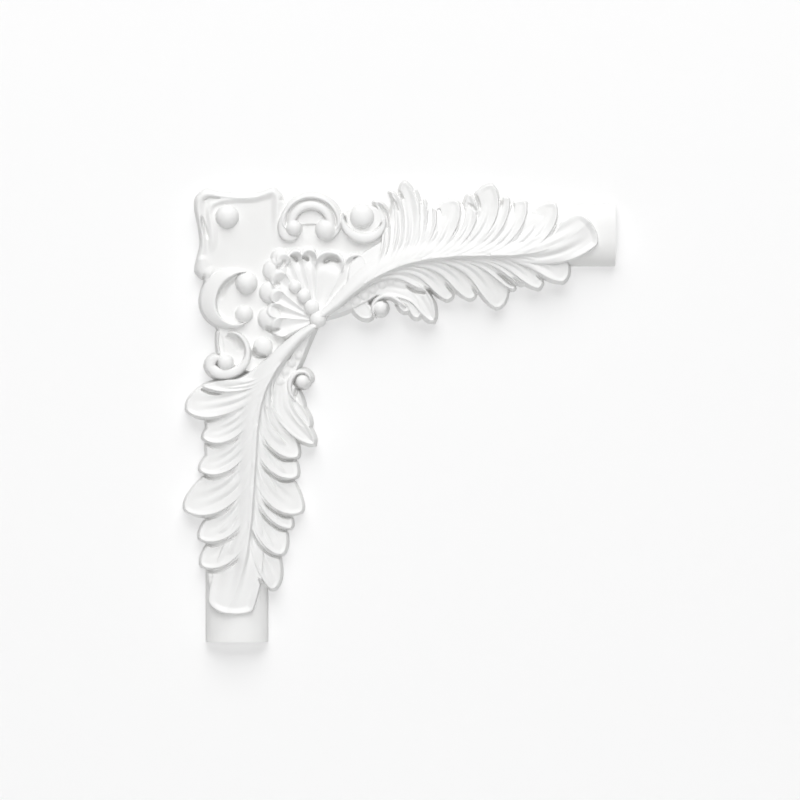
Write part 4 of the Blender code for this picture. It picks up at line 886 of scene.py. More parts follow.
@dataclass(frozen=True)
class Flute:
    """One flute of the palmette.

    Attributes:
        first: Heading of the ridge on its one side, in degrees.
        last: Heading of the ridge on its other side.
        reach: How far it reaches from the boss.
        deep: Depth of its hollow behind the lip.
    """

    first: float
    last: float
    reach: float
    deep: float


@dataclass(frozen=True)
class Palmette:
    """The palmette: flutes fanned about a boss, each ending in a lip that curls over a hollow.

    Attributes:
        boss: Where the flutes meet.
        flutes: The flutes, from the side run round to the top run.
        curls: Centre and radius of the bulbs that the lips on the left are rolled up into.
        eyes: The hollows under the curls and the lips, as points, half widths and depth.
        lip: Width of the lips.
        lip_rise: Their rise.
        low: Height at the boss.
        high: Height at the lips.
    """

    boss: Point = (56.0, -60.0)
    flutes: Tuple[Flute, ...] = (
        Flute(206, 176, 33.0, 0.6), Flute(176, 157, 36.0, 3.6), Flute(157, 141, 38.0, 0.8),
        Flute(141, 124, 45.5, 0.8), Flute(124, 113.5, 54.0, 3.6), Flute(113.5, 103, 52.8, 4.6),
        Flute(103, 90.5, 51.6, 4.8), Flute(90.5, 63, 50.5, 5.6), Flute(63, 46, 56.0, 4.2))
    curls: Tuple[Tuple[Point, float], ...] = (
        ((23.4, -58.6), 8.0), ((24.0, -40.2), 7.6), ((26.8, -25.2), 8.0), ((31.0, -16.4), 6.6))
    eyes: Tuple[Tuple[Tuple[Point, ...], Tuple[float, ...], float], ...] = (
        (((19.6, -64.2), (24.4, -66.8), (31.0, -66.0)), (1.6, 2.6, 1.2), 5.0),
        (((26.4, -36.6), (28.2, -35.2), (30.4, -33.8)), (2.0, 2.4, 1.8), 3.0),
        (((27.6, -24.4), (30.0, -22.8), (32.4, -20.8), (33.8, -17.2)), (1.6, 2.2, 2.0, 1.6), 3.6),
        (((37.4, -14.6), (40.4, -16.0), (42.8, -19.4)), (1.2, 2.1, 1.2), 5.4),
        (((45.6, -17.4), (48.0, -16.4), (50.4, -18.8)), (1.3, 2.3, 1.2), 6.0),
        (((60.6, -21.0), (63.6, -17.6), (68.0, -16.8), (72.6, -20.0)), (1.6, 3.0, 3.2, 1.6), 6.6),
        (((81.0, -17.4), (85.4, -16.8), (89.0, -19.6)), (1.4, 2.2, 1.2), 4.4))
    lip: float = 5.2
    lip_rise: float = 1.6
    low: float = 14.8
    high: float = 15.2

    def carve(self, relief: Relief) -> None:
        """Lays the flutes side by side, then the curls, and cuts the eyes under them."""
        bx, bz = self.boss
        corners = arc(bx, bz, 64, self.flutes[0].first, self.flutes[-1].last, 12)
        where, gx, gz = relief.window(np.array(corners + [self.boss]), 2)
        r = np.hypot(gx - bx, gz - bz)
        a = np.degrees(np.arctan2(gz - bz, gx - bx)) % 360
        for flute in self.flutes:
            relief.lay(where, self.cut_flute(relief.draft, r, a, flute), 1.4)
        for centre, radius in self.curls:
            relief.ball(centre, radius, self.low - 2.4, 0.5, 5.0)
        for line, half, deep in self.eyes:
            relief.pit(line, half, deep, 0.2)

    def cut_flute(self, draft: Draft, r: Grid, a: Grid, flute: Flute) -> Grid:
        """Heights of one flute.

        Args:
            draft: The mould's draft.
            r: Distances from the boss.
            a: Headings from the boss.
            flute: Its sizes.

        Returns:
            Its heights, far below outside it.
        """
        middle, wide = (flute.first + flute.last) / 2, (flute.first - flute.last) / 2
        u = (a - middle) / wide
        across = np.radians(wide) * flute.reach
        scallop = np.sqrt(np.maximum(1 - np.clip(np.abs(u), 0, 1) ** 2.2, 0))
        out = flute.reach - across * 0.7 * (1 - scallop)
        inside = np.minimum(out - r, (1.0 - np.abs(u)) * np.radians(wide) * r + 4.0)
        run = np.clip(r / (out - self.lip), 0, 1)
        lip = self.lip_rise * np.exp(-(((out - r - self.lip * 0.5) / (self.lip * 0.44)) ** 2))
        body = self.low + (self.high - self.low) * smooth(run / 0.75)
        soft = np.exp(-((u / 0.62) ** 2))
        hollow = flute.deep * np.exp(-(((r - (out - self.lip * 1.5)) / (self.lip * 0.9)) ** 2))
        tail = 0.9 * smooth(run / 0.5) * (1 - smooth((r - out + self.lip * 1.4) / 2.0))
        beyond = 1.6 * np.radians(wide) * r * np.maximum(np.abs(u) - 1, 0)
        one = body + lip - (hollow + tail) * soft - beyond
        return np.where(np.abs(u) < 3, draft.edge(one, inside + draft.inset * 0.6, 2.8, 4.5), BELOW)


@dataclass(frozen=True)
class InnerLeaves:
    """The two small scrolled leaves on the inside of the corner, and the ruffled strips they grow from.

    Attributes:
        ruffle: Height of the ruffled strips.
        blade: Height of the blades.
    """

    ruffle: float = 13.6
    blade: float = 13.4

    def carve_top(self, relief: Relief) -> None:
        """Lays the one that hangs under the top leaf."""
        high, low = self.blade, self.blade - 1.2
        relief.tongue([(62, -58), (74, -51.5), (88, -44), (108, -33)], (2.0, 4.6, 5.4, 4.4), (self.ruffle,),
                      0.8)
        relief.tongue([(84, -44), (96, -37.6), (112, -37.2), (127, -43), (138.4, -62.2)],
                      (5.4, 6.8, 7.4, 8.6, 8.2, 5.6), (high, high + 0.6, high + 0.2, low), 1.4, 2.2,
                      vein=0.8, tip=0.16)
        relief.tongue([(88, -42), (86.6, -50), (95, -59.5)], (6.5, 7.4, 5.4), (high - 0.6, high - 0.8, low),
                      1.0)
        relief.tongue([(106, -40), (115, -45), (119.5, -55.5)], (4.4, 5.8, 5.2), (high, high - 0.4, low),
                      1.2)
        relief.tongue([(110, -39), (122, -46), (127, -60)], (4.4, 6.2, 5.2), (high, high - 0.4, low), 1.3)
        relief.band([(97.4, -58), (95.0, -53), (96.4, -47.2), (101.6, -43.4), (108, -43.4), (114, -47.0),
                     (119, -51)], (1.6, 2.4, 2.6, 2.8, 2.8, 2.6, 1.8), (14.0, 14.4, 14.6, 14.2, 13.4),
                    roll(1.5), 0.6, (0.08, 0.06))
        relief.ball((100.4, -51.4), 5.0, 13.4, 0.8, 0.4)
        relief.pit([(103.4, -46.8), (107.4, -46.4), (112.0, -49.0)], (1.2, 1.8, 1.0), 5.0)
        for x, z in ((77.6, -49.8), (83.6, -46.4), (89.6, -42.6), (95.4, -38.4), (101.4, -34.8),
                     (107.4, -32.0)):
            relief.ball((x, z), 3.4, self.ruffle - 0.6, 0.6, 0.8)

    def carve_side(self, relief: Relief) -> None:
        """Lays the one beside the side leaf."""
        high, low = self.blade, self.blade - 1.2
        relief.tongue([(55, -64), (46.5, -77), (40, -90), (32, -106)], (2.0, 4.6, 5.4, 4.4), (self.ruffle,),
                      0.8)
        relief.tongue([(38, -86), (32.4, -104), (34, -124), (55.4, -147.6)], (5.0, 6.8, 7.6, 8.8, 8.4, 6.2),
                      (high, high + 0.4, high, low), 1.4, 2.2, vein=0.8, tip=0.18)
        relief.tongue([(34, -102), (40, -114), (45.6, -127.5)], (4.6, 6.4, 5.4), (high, high - 0.3, low),
                      1.2)
        relief.tongue([(34, -110), (43, -124), (51, -136.5)], (4.6, 6.6, 5.6), (high, high - 0.3, low), 1.3)
        relief.band([(42, -117), (37.6, -110), (37.6, -102.4), (41.6, -96.8), (47.6, -96.0), (51.4, -99.6),
                     (51.2, -104.0)], (1.8, 2.6, 3.0, 3.0, 2.8, 2.6, 1.8), (13.5, 14.4, 15.0, 15.0, 14.4),
                    roll(1.7),
                    0.6, (0.08, 0.08))
        relief.ball((46.2, -102.4), 4.8, 13.4, 0.8, 0.4)
        relief.pit([(46, -108), (42.4, -108), (41.0, -113)], (1.2, 2.2, 1.2), 5.0)
        for x, z in ((43.6, -84.6), (38.6, -89.8), (34.2, -95.6), (30.4, -102.4)):
            relief.ball((x, z), 3.2, self.ruffle - 0.6, 0.6, 0.8)

    def carve(self, relief: Relief) -> None:
        """Lays both."""
        self.carve_top(relief)
        self.carve_side(relief)


@dataclass(frozen=True)
class Pearls:
    """The row of pearls that grows towards the palmette's boss.

    Attributes:
        first: The smallest pearl's centre.
        last: The boss's centre.
        count: How many there are.
        small: Radius of the first.
        large: Radius of the last.
        seat: Height of the first one's rim.
        seat_last: Height of the last one's rim.
        flat: Rise of a pearl for each millimetre of radius.
        bow: How far the row bows out on its way.
    """

    first: Point = (40.7, -36.5)
    last: Point = (57.0, -59.5)
    count: int = 4
    small: float = 4.3
    large: float = 5.8
    seat: float = 15.2
    seat_last: float = 16.5
    flat: float = 0.8
    bow: float = 1.6


@dataclass(frozen=True)
class Run:
    """A plain length of the panel moulding: a cushion with steep edges.

    Attributes:
        arm: The run it is.
        length: From the crossing of the centre lines to its square end.
        start: Where it starts under the leaf.
        half: Half its width.
        high: Its height.
        shoulder: Height of its steep edge.
        full: How full its cushion is; 2 is a true ellipse.
    """

    arm: Arm
    length: float
    start: float = 118.0
    half: float = 22.0
    high: float = 14.0
    shoulder: float = 4.0
    full: float = 2.2


def carve_ornament(relief: Relief) -> None:
    """Carves everything but the plain runs and the pearls."""
    Tablet().carve(relief)
    Scrolls().carve(relief)
    InnerLeaves().carve(relief)
    Palmette().carve(relief)
    top_leaf().carve(relief)
    side_leaf().carve(relief)
    relief.make_cuts()


class Tree:
    """A Geometry Nodes tree with named inputs, and the modifier that runs it."""

    def __init__(self, name: str, inputs: Dict[str, float]) -> None:
        """Starts the tree.

        Args:
            name: Its name.
            inputs: Its number inputs and their values.
        """
        self.group = bpy.data.node_groups.new(name, "GeometryNodeTree")
        self.values = inputs
        self.keys: Dict[str, str] = {}
        for label in inputs:
            kind = "NodeSocketInt" if isinstance(inputs[label], int) else "NodeSocketFloat"
            socket = self.group.interface.new_socket(name=label, in_out="INPUT", socket_type=kind)
            self.keys[label] = socket.identifier
        self.group.interface.new_socket(name="Geometry", in_out="OUTPUT", socket_type="NodeSocketGeometry")
        self.source = self.group.nodes.new("NodeGroupInput")
        self.sink = self.group.nodes.new("NodeGroupOutput")

    def add(self, kind: str, links: Optional[Dict[object, object]] = None,
            **settings: object) -> bpy.types.Node:
        """Adds a node.

        Args:
            kind: Its type.
            links: What goes into its sockets: another socket, or a value.
            settings: Its own settings.

        Returns:
            The node.
        """
        node = self.group.nodes.new(kind)
        for key, value in settings.items():
            setattr(node, key, value)
        for key, value in (links or {}).items():
            if isinstance(value, bpy.types.NodeSocket):
                self.group.links.new(value, node.inputs[key])
            else:
                node.inputs[key].default_value = value
        return node

    def math(self, operation: str, *values: object) -> bpy.types.NodeSocket:
        """Adds a sum.

        Args:
            operation: What is done.
            values: The one or two numbers or sockets.

        Returns:
            Its result.
        """
        return self.add("ShaderNodeMath", dict(enumerate(values)), operation=operation).outputs[0]

    def given(self, label: str) -> bpy.types.NodeSocket:
        """The socket of a named input."""
        return self.source.outputs[label]

    def close(self, geometry: bpy.types.NodeSocket, paint: bpy.types.Material) -> None:
        """Realizes what is instanced and gives it its material."""
        real = self.add("GeometryNodeRealizeInstances", {"Geometry": geometry}).outputs[0]
        dressed = self.add("GeometryNodeSetMaterial", {"Geometry": real, "Material": paint}).outputs[0]
        self.group.links.new(dressed, self.sink.inputs[0])

    def run(self, name: str) -> bpy.types.Object:
        """Runs the tree and keeps what it makes as a plain mesh.

        Args:
            name: Name of the piece.

        Returns:
            The piece, with no modifier on it.
        """
        bearer = bpy.data.objects.new(name + "_nodes", bpy.data.meshes.new(name + "_nodes"))
        bpy.context.scene.collection.objects.link(bearer)
        modifier = bearer.modifiers.new("nodes", "NODES")
        modifier.node_group = self.group
        for label, value in self.values.items():
            modifier[self.keys[label]] = value
        bpy.context.view_layer.update()
        made = plain_mesh(bearer, name)
        bearer.modifiers.clear()
        bpy.data.objects.remove(bearer)
        return made


def plain_mesh(source: bpy.types.Object, name: str) -> bpy.types.Object:
    """Keeps an object's evaluated shape as a mesh object of its own.

    Args:
        source: The object with its modifiers.
        name: Name of the new one.

    Returns:
        The new object.
    """
    seen = source.evaluated_get(bpy.context.evaluated_depsgraph_get())
    mesh = bpy.data.meshes.new_from_object(seen)
    mesh.name = name
    made = bpy.data.objects.new(name, mesh)
    bpy.context.scene.collection.objects.link(made)
    return made


@dataclass(frozen=True)
class PrimedWhite:
    """The factory primer: matte white with a fine orange-peel tooth and random mottle, with painted shade
    darkening it on the surfaces nearer the wall.

    Attributes:
        colour: Its white.
        hollow: The darker tone it is mixed towards: painted shade on the surfaces nearer the wall, and
            random mottle.
        roughness: Mean roughness.
        tooth: Size of the tooth, as a noise scale for metres.
        relief: Depth of the tooth in metres.
    """

    colour: Tuple[float, float, float] = (0.86, 0.86, 0.855)
    hollow: Tuple[float, float, float] = (0.80, 0.80, 0.79)
    roughness: float = 0.5
    tooth: float = 900.0
    relief: float = 0.00005

    def make(self) -> bpy.types.Material:
        """Builds the material on Object coordinates."""
        paint = bpy.data.materials.new("primed_white")
        paint.use_nodes = True
        paint.diffuse_color = (*self.colour, 1.0)
        nodes, links = paint.node_tree.nodes, paint.node_tree.links
        shader = next(n for n in nodes if n.type == "BSDF_PRINCIPLED")
        place = nodes.new("ShaderNodeTexCoord")

        def noise(scale: float, detail: float) -> bpy.types.Node:
            """A noise on the piece's own coordinates."""
            node = nodes.new("ShaderNodeTexNoise")
            node.inputs["Scale"].default_value = scale
            node.inputs["Detail"].default_value = detail
            links.new(place.outputs["Object"], node.inputs["Vector"])
            return node

        def spread(source: bpy.types.NodeSocket, low: float, high: float, to_low: float, to_high: float):
            """A value spread over another range."""
            node = nodes.new("ShaderNodeMapRange")
            for key, value in zip((1, 2, 3, 4), (low, high, to_low, to_high)):
                node.inputs[key].default_value = value
            links.new(source, node.inputs[0])
            return node.outputs[0]

        apart = nodes.new("ShaderNodeSeparateXYZ")
        links.new(place.outputs["Object"], apart.inputs[0])
        cloud = noise(38.0, 3.0)
        # painted shade: the nearer a surface lies to the wall, the more it goes towards the darker tone,
        # standing in for shade in the recesses
        deep = spread(apart.outputs["Y"], -0.016, -0.004, 0.0, 0.75)
        mottle = spread(cloud.outputs["Fac"], 0.35, 0.65, 0.0, 0.25)
        # painted shade near the wall plus random mottle sets how far the white goes towards the darker tone
        shade_and_mottle = nodes.new("ShaderNodeMath")
        shade_and_mottle.use_clamp = True
        links.new(deep, shade_and_mottle.inputs[0])
        links.new(mottle, shade_and_mottle.inputs[1])
        tone = nodes.new("ShaderNodeMix")
        tone.data_type = "RGBA"
        tone.inputs["A"].default_value = (*self.colour, 1.0)
        tone.inputs["B"].default_value = (*self.hollow, 1.0)
        links.new(shade_and_mottle.outputs[0], tone.inputs["Factor"])
        links.new(tone.outputs["Result"], shader.inputs["Base Color"])

        sheen = noise(160.0, 4.0)
        rough = spread(sheen.outputs["Fac"], 0.3, 0.7, self.roughness - 0.06, self.roughness + 0.08)
        links.new(rough, shader.inputs["Roughness"])

        fine = noise(self.tooth, 2.0)
        broad = noise(self.tooth / 6, 2.0)
        height = nodes.new("ShaderNodeMath")
        height.operation = "ADD"
        links.new(fine.outputs["Fac"], height.inputs[0])
        links.new(broad.outputs["Fac"], height.inputs[1])
        bump = nodes.new("ShaderNodeBump")
        bump.inputs["Distance"].default_value = self.relief
        bump.inputs["Strength"].default_value = 0.6
        links.new(height.outputs[0], bump.inputs["Height"])
        links.new(bump.outputs["Normal"], shader.inputs["Normal"])
        return paint


@dataclass
class Casting:
    """The whole casting: the carved ornament, the row of pearls and the two plain runs, joined in one solid.

    Attributes:
        pitch: Spacing of the carving's grid, in drawn millimetres.
        facets: Triangles that the carving is thinned to.
        behind: How far everything reaches into the wall before the back is cut flat, in drawn millimetres.
        crease: Turn of the surface, in degrees, past which an edge stays crisp.
        runs: The two plain runs.
        pearls: The row of pearls.
    """

    pitch: float = 0.4
    facets: int = 160000
    behind: float = 2.0
    crease: float = 52.0
    runs: Tuple[Run, ...] = (Run(Arm.TOP, ARM_LENGTH / DRAWN), Run(Arm.SIDE, DROP_LENGTH / DRAWN))
    pearls: Pearls = field(default_factory=Pearls)

    def carving(self) -> bpy.types.Object:
        """Carves the ornament and makes a closed solid of it, its back a little inside the wall."""
        relief = Relief(self.pitch)
        carve_ornament(relief)
        rows, columns = relief.height.shape
        gx, gz = np.meshgrid(relief.xs, relief.zs)
        corners = np.column_stack([gx.ravel() * DRAWN * MM, -relief.height.ravel() * DRAWN_DEPTH * MM,
                                   gz.ravel() * DRAWN * MM])
        index = np.arange(rows * columns).reshape(rows, columns)
        quads = np.stack([index[:-1, :-1], index[:-1, 1:], index[1:, 1:], index[1:, :-1]],
                         axis=-1).reshape(-1, 4)
        high = relief.height.ravel()[quads].max(axis=1) > BELOW + 0.01
        quads = quads[high]
        used, faces = np.unique(quads, return_inverse=True)
        mesh = bpy.data.meshes.new("carving")
        mesh.vertices.add(len(used))
        mesh.vertices.foreach_set("co", corners[used].ravel())
        mesh.loops.add(faces.size)
        mesh.loops.foreach_set("vertex_index", faces.ravel())
        mesh.polygons.add(len(quads))
        mesh.polygons.foreach_set("loop_start", np.arange(0, faces.size, 4))
        mesh.update(calc_edges=True)
        bm = bmesh.new()
        bm.from_mesh(mesh)
        self.close_back(bm, self.behind * DRAWN_DEPTH * MM)
        bm.to_mesh(mesh)
        bm.free()
        thin = bpy.data.objects.new("carving", mesh)
        bpy.context.scene.collection.objects.link(thin)
        log.info("carving: %d faces before it is thinned", len(mesh.polygons))
        ratio = self.facets / sum(len(p.vertices) - 2 for p in mesh.polygons)
        thinner = thin.modifiers.new("thin", "DECIMATE")
        thinner.ratio = min(1.0, ratio)
        return thin

    def close_back(self, bm: bmesh.types.BMesh, depth: float) -> None:
        """Cuts a shape at a plane that is parallel to the wall, and closes the cut.

        Args:
            bm: The shape.
            depth: Where the plane is, in metres into the wall.
        """
        bmesh.ops.bisect_plane(bm, geom=bm.verts[:] + bm.edges[:] + bm.faces[:], dist=1e-7,
                               plane_co=(0, depth, 0),
                               plane_no=(0, 1, 0), clear_outer=True)
        rim = [e for e in bm.edges if e.is_boundary]
        for vert in {v for e in rim for v in e.verts}:
            vert.co.y = depth
        bmesh.ops.triangle_fill(bm, use_beauty=True, use_dissolve=False, edges=rim, normal=(0, 1, 0))
        bmesh.ops.recalc_face_normals(bm, faces=bm.faces[:])

    def run_piece(self, run: Run, paint: bpy.types.Material) -> bpy.types.Object:
        """Sweeps one plain run from its section.

        Args:
            run: Its sizes.
            paint: Its finish.

        Returns:
            The swept solid.
        """
        scale, deep = DRAWN * MM, DRAWN_DEPTH * MM
        tree = Tree("run_" + run.arm.value, {
            "Start": run.start * scale, "End": run.length * scale, "Half width": run.half * scale,
            "Height": run.high * deep, "Shoulder": run.shoulder * deep, "Behind": self.behind * deep,
            "Draft": Draft().slope * deep / scale, "Fullness": run.full, "Points": 96})
        given = tree.given
        line = tree.add("GeometryNodeCurvePrimitiveLine", {"End": (0.0, 0.0, 1.0)}).outputs[0]
        points = tree.add("GeometryNodeResampleCurve", {"Curve": line, "Count": given("Points")}).outputs[0]
        share = tree.add("GeometryNodeSplineParameter").outputs["Factor"]
        back = tree.math("DIVIDE", given("Behind"), given("Draft"))
        reach = tree.math("ADD", given("Half width"), back)
        angle = tree.math("MULTIPLY", tree.math("SUBTRACT", share, 0.5), math.pi)
        across = tree.math("MULTIPLY", tree.math("SINE", angle), reach)
        away = tree.math("ABSOLUTE", across)
        lean = tree.math("DIVIDE", given("Shoulder"), given("Draft"))
        flank = tree.math("SUBTRACT", given("Half width"), lean)
        u = tree.math("MINIMUM", tree.math("DIVIDE", away, flank), 1.0)
        dome = tree.math("POWER", tree.math("SUBTRACT", 1.0, tree.math("POWER", u, given("Fullness"))), 0.5)
        crown = tree.math("MULTIPLY", dome, tree.math("SUBTRACT", given("Height"), given("Shoulder")))
        past = tree.math("MAXIMUM", tree.math("SUBTRACT", away, flank), 0.0)
        level = tree.math("SUBTRACT", tree.math("ADD", crown, given("Shoulder")),
                          tree.math("MULTIPLY", past, given("Draft")))
        outwards = tree.math("MULTIPLY", level, -1.0)
        spot = tree.add("ShaderNodeCombineXYZ", {0: across, 1: outwards}).outputs[0]
        shaped = tree.add("GeometryNodeSetPosition", {"Geometry": points, "Position": spot}).outputs[0]
        section = tree.add("GeometryNodeSetSplineCyclic", {"Geometry": shaped, "Cyclic": True}).outputs[0]
        face = tree.add("GeometryNodeFillCurve", {"Curve": section}).outputs[0]
        length = tree.math("SUBTRACT", given("End"), given("Start"))
        swept = tree.add("GeometryNodeExtrudeMesh", {
            "Mesh": face, "Offset Scale": length, "Individual": False, "Offset": (0.0, 0.0, 1.0)})
        foot = tree.add("GeometryNodeFlipFaces", {"Mesh": face}).outputs[0]
        both = tree.add("GeometryNodeJoinGeometry", {"Geometry": swept.outputs[0]})
        tree.group.links.new(foot, both.inputs[0])
        closed = {"Geometry": both.outputs[0], "Distance": 1e-6}
        solid = tree.add("GeometryNodeMergeByDistance", closed).outputs[0]
        moved = tree.add("ShaderNodeCombineXYZ", {2: given("Start")}).outputs[0]
        at_start = tree.add("GeometryNodeTransform", {"Geometry": solid, "Translation": moved}).outputs[0]
        turn = (0.0, math.radians(90), 0.0) if run.arm is Arm.TOP else (0.0, math.radians(180), 0.0)
        placed = tree.add("GeometryNodeTransform", {"Geometry": at_start, "Rotation": turn}).outputs[0]
        tree.close(placed, paint)
        return tree.run("run_" + run.arm.value)

    def pearl_piece(self, paint: bpy.types.Material) -> bpy.types.Object:
        """Sets the pearls in a row, each a little larger than the one before.

        Args:
            paint: Their finish.

        Returns:
            The pearls, joined where they meet.
        """
        row, scale, deep = self.pearls, DRAWN * MM, DRAWN_DEPTH * MM
        tree = Tree("pearl_row", {
            "Count": row.count, "First across": row.first[0] * scale, "First up": row.first[1] * scale,
            "Last across": row.last[0] * scale, "Last up": row.last[1] * scale,
                                  "Bow": row.bow * 0.7 * scale,
            "Small": row.small * scale, "Large": row.large * scale, "Seat": row.seat * deep,
            "Last seat": row.seat_last * deep, "Flatness": row.flat * deep / scale})
        given = tree.given
        line = tree.add("GeometryNodeMeshLine", {"Count": given("Count")}).outputs[0]
        place = tree.add("GeometryNodeInputIndex").outputs[0]
        share = tree.math("DIVIDE", place, tree.math("SUBTRACT", given("Count"), 1.0))
        arch = tree.math("MULTIPLY", tree.math("MULTIPLY", share, tree.math("SUBTRACT", 1.0, share)), 4.0)
        bow = tree.math("MULTIPLY", arch, given("Bow"))

        def between(first: str, last: str) -> bpy.types.NodeSocket:
            """A value that goes evenly from one input to another along the row."""
            gap = tree.math("SUBTRACT", given(last), given(first))
            return tree.math("ADD", given(first), tree.math("MULTIPLY", gap, share))

        seat = tree.math("MULTIPLY", between("Seat", "Last seat"), -1.0)
        spot = tree.add("ShaderNodeCombineXYZ", {
            0: tree.math("ADD", between("First across", "Last across"), bow), 1: seat,
            2: tree.math("ADD", between("First up", "Last up"), bow)}).outputs[0]
        spots = tree.add("GeometryNodeSetPosition", {"Geometry": line, "Position": spot}).outputs[0]
        bead = tree.add("GeometryNodeMeshUVSphere", {"Segments": 40, "Rings": 24, "Radius": 1.0}).outputs[0]
        size = between("Small", "Large")
        rise = tree.math("MULTIPLY", size, given("Flatness"))
        shape = tree.add("ShaderNodeCombineXYZ", {0: size, 1: rise, 2: size}).outputs[0]
        set_out = {"Points": spots, "Instance": bead, "Scale": shape}
        beads = tree.add("GeometryNodeInstanceOnPoints", set_out).outputs[0]
        real = tree.add("GeometryNodeRealizeInstances", {"Geometry": beads}).outputs[0]
        joined = tree.add("GeometryNodeMeshBoolean", {"Self Intersection": True}, operation="UNION",
                          solver="EXACT")
        tree.group.links.new(real, joined.inputs["Mesh 2"])
        tree.close(joined.outputs["Mesh"], paint)
        return tree.run("pearl_row")

    def build(self, paint: bpy.types.Material) -> bpy.types.Object:
        """Joins the carving, the runs and the pearls, and cuts the back flat on the wall.

        Args:
            paint: The finish.

        Returns:
            The finished piece.
        """
        carved = self.carving()
        parts = bpy.data.collections.new("joined_in")
        bpy.context.scene.collection.children.link(parts)
        added = [self.run_piece(run, paint) for run in self.runs] + [self.pearl_piece(paint)]
        for piece in added:
            log.info("%s: %d faces", piece.name, len(piece.data.polygons))
            parts.objects.link(piece)
        join = carved.modifiers.new("join", "BOOLEAN")
        join.operation = "UNION"
        join.solver = "EXACT"
        join.operand_type = "COLLECTION"
        join.collection = parts
        bpy.context.view_layer.update()
        casting = plain_mesh(carved, "corner_casting")
        for piece in added + [carved]:
            bpy.data.objects.remove(piece)
        bpy.data.collections.remove(parts)
        self.trim(casting.data)
        casting.data.materials.clear()
        casting.data.materials.append(paint)
        even = casting.modifiers.new("even", "WEIGHTED_NORMAL")
        even.keep_sharp = True
        bpy.context.view_layer.update()
        shaded = plain_mesh(casting, "corner_casting")
        bpy.data.objects.remove(casting)
        shaded.name = "corner_casting"
        return shaded

    def trim(self, mesh: bpy.types.Mesh) -> None:
        """Cuts the back at the wall, and keeps the crisp edges crisp.

        Args:
            mesh: The casting's mesh.
        """
        bm = bmesh.new()
        bm.from_mesh(mesh)
        bmesh.ops.remove_doubles(bm, verts=bm.verts[:], dist=1e-6)
        self.close_back(bm, 0.0)
        bmesh.ops.triangulate(bm, faces=bm.faces[:])
        bmesh.ops.dissolve_degenerate(bm, dist=1e-5, edges=bm.edges[:])
        limit = math.radians(self.crease)
        for face in bm.faces:
            face.smooth = True
            face.material_index = 0
        for edge in bm.edges:
            edge.smooth = len(edge.link_faces) == 2 and edge.calc_face_angle(0.0) < limit
        open_edges = sum(1 for e in bm.edges if len(e.link_faces) != 2)
        log.info("casting: %d triangles, %d open edges, %.0f cubic centimetres", len(bm.faces), open_edges,
                 bm.calc_volume() * 1e6)
        bm.to_mesh(mesh)
        bm.free()


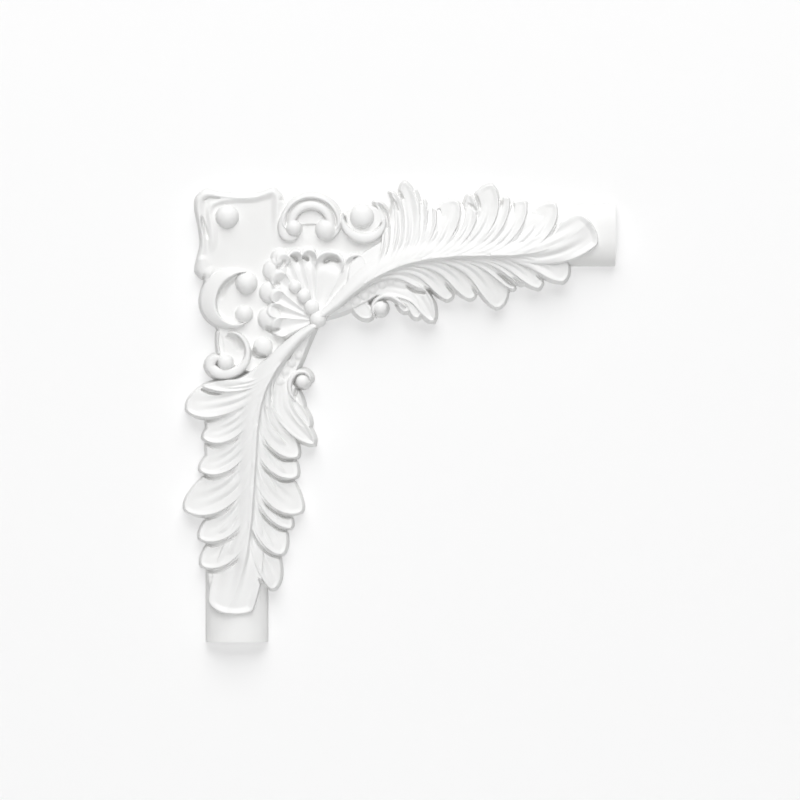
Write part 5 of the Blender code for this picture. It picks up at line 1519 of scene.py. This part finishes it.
@dataclass(frozen=True)
class Studio:
    """Plain wall, plain floor, soft light and the camera.

    Attributes:
        aim: What the camera looks at, in metres along and up the wall.
        width: What the picture takes in there, in metres.
        distance: How far the camera stands.
        wall: Side of the wall panel.
        floor: How far under the origin the floor is.
    """

    aim: Tuple[float, float] = (0.1141, -0.1155)
    width: float = 0.560
    distance: float = 3.5
    wall: float = 4.0
    floor: float = 1.6

    def plain(self, name: str, colour: float, glow: float, one_sided: bool) -> bpy.types.Material:
        """A plain pale surface.

        Args:
            name: Its name.
            colour: Its grey.
            glow: Light of its own, so that it stays near white.
            one_sided: Whether it can be seen through from behind.

        Returns:
            The material.
        """
        made = bpy.data.materials.new(name)
        made.use_nodes = True
        nodes, links = made.node_tree.nodes, made.node_tree.links
        shader = next(n for n in nodes if n.type == "BSDF_PRINCIPLED")
        shader.inputs["Base Color"].default_value = (colour, colour, colour, 1.0)
        shader.inputs["Roughness"].default_value = 0.9
        shader.inputs["Emission Color"].default_value = (1.0, 1.0, 1.0, 1.0)
        shader.inputs["Emission Strength"].default_value = glow
        if one_sided:
            clear = nodes.new("ShaderNodeBsdfTransparent")
            side = nodes.new("ShaderNodeNewGeometry")
            mix = nodes.new("ShaderNodeMixShader")
            links.new(side.outputs["Backfacing"], mix.inputs[0])
            links.new(shader.outputs[0], mix.inputs[1])
            links.new(clear.outputs[0], mix.inputs[2])
            sink = next(n for n in nodes if n.type == "OUTPUT_MATERIAL")
            links.new(mix.outputs[0], sink.inputs["Surface"])
        return made

    def panel(self, name: str, corners: Sequence[Tuple[float, float, float]],
              paint: bpy.types.Material) -> None:
        """A flat panel of the stage.

        Args:
            name: Its name.
            corners: Its four corners, anticlockwise as seen from its front.
            paint: Its surface.
        """
        mesh = bpy.data.meshes.new(name)
        mesh.from_pydata(corners, [], [tuple(range(len(corners)))])
        mesh.materials.append(paint)
        made = bpy.data.objects.new(name, mesh)
        bpy.context.scene.collection.objects.link(made)

    def lamp(self, name: str, place: Sequence[float], size: float, power: float) -> None:
        """A soft area light that faces the casting.

        Args:
            name: Its name.
            place: Where it stands.
            size: Its side in metres.
            power: Its power in watts.
        """
        data = bpy.data.lights.new(name, "AREA")
        data.size = size
        data.energy = power
        made = bpy.data.objects.new(name, data)
        made.location = place
        way = Vector((self.aim[0], 0.0, self.aim[1])) - Vector(place)
        made.rotation_euler = way.to_track_quat("-Z", "Y").to_euler()
        bpy.context.scene.collection.objects.link(made)

    def build(self) -> None:
        """Sets up the stage, the lights and the camera."""
        half, low = self.wall / 2, -self.floor
        wall = self.plain("pale_wall", 0.62, 0.33, True)
        floor = self.plain("pale_floor", 0.8, 0.0, False)
        self.panel("wall", [(-half, 0.0006, low), (half, 0.0006, low), (half, 0.0006, half),
                            (-half, 0.0006, half)],
                   wall)
        self.panel("floor", [(-half, -half, low), (half, -half, low), (half, half, low),
                             (-half, half, low)], floor)
        self.lamp("key", (self.aim[0], -2.6, 3.1), 3.6, 174.0)
        self.lamp("fill", (self.aim[0], -4.2, -0.3), 2.0, 62.0)
        world = bpy.data.worlds.new("soft_room")
        world.use_nodes = True
        sky = next(n for n in world.node_tree.nodes if n.type == "BACKGROUND")
        sky.inputs[0].default_value = (1.0, 1.0, 1.0, 1.0)
        sky.inputs[1].default_value = 0.04
        scene = bpy.context.scene
        scene.world = world
        scene.view_settings.view_transform = "Standard"
        data = bpy.data.cameras.new("camera")
        data.sensor_width = 36.0
        data.lens = data.sensor_width * self.distance / self.width
        data.dof.use_dof = False
        data.clip_end = 50.0
        camera = bpy.data.objects.new("camera", data)
        camera.location = (self.aim[0], -self.distance, self.aim[1])
        camera.rotation_euler = (math.radians(90), 0.0, 0.0)
        scene.collection.objects.link(camera)
        scene.camera = camera


def main() -> None:
    """Builds the casting and the studio."""
    casting = Casting().build(PrimedWhite().make())
    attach(casting, "root")
    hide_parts("moulding_corner")
    log.info("%s: in place", casting.name)
    Studio().build()
    log.info("studio: in place")


if __name__ == "__main__":
    main()
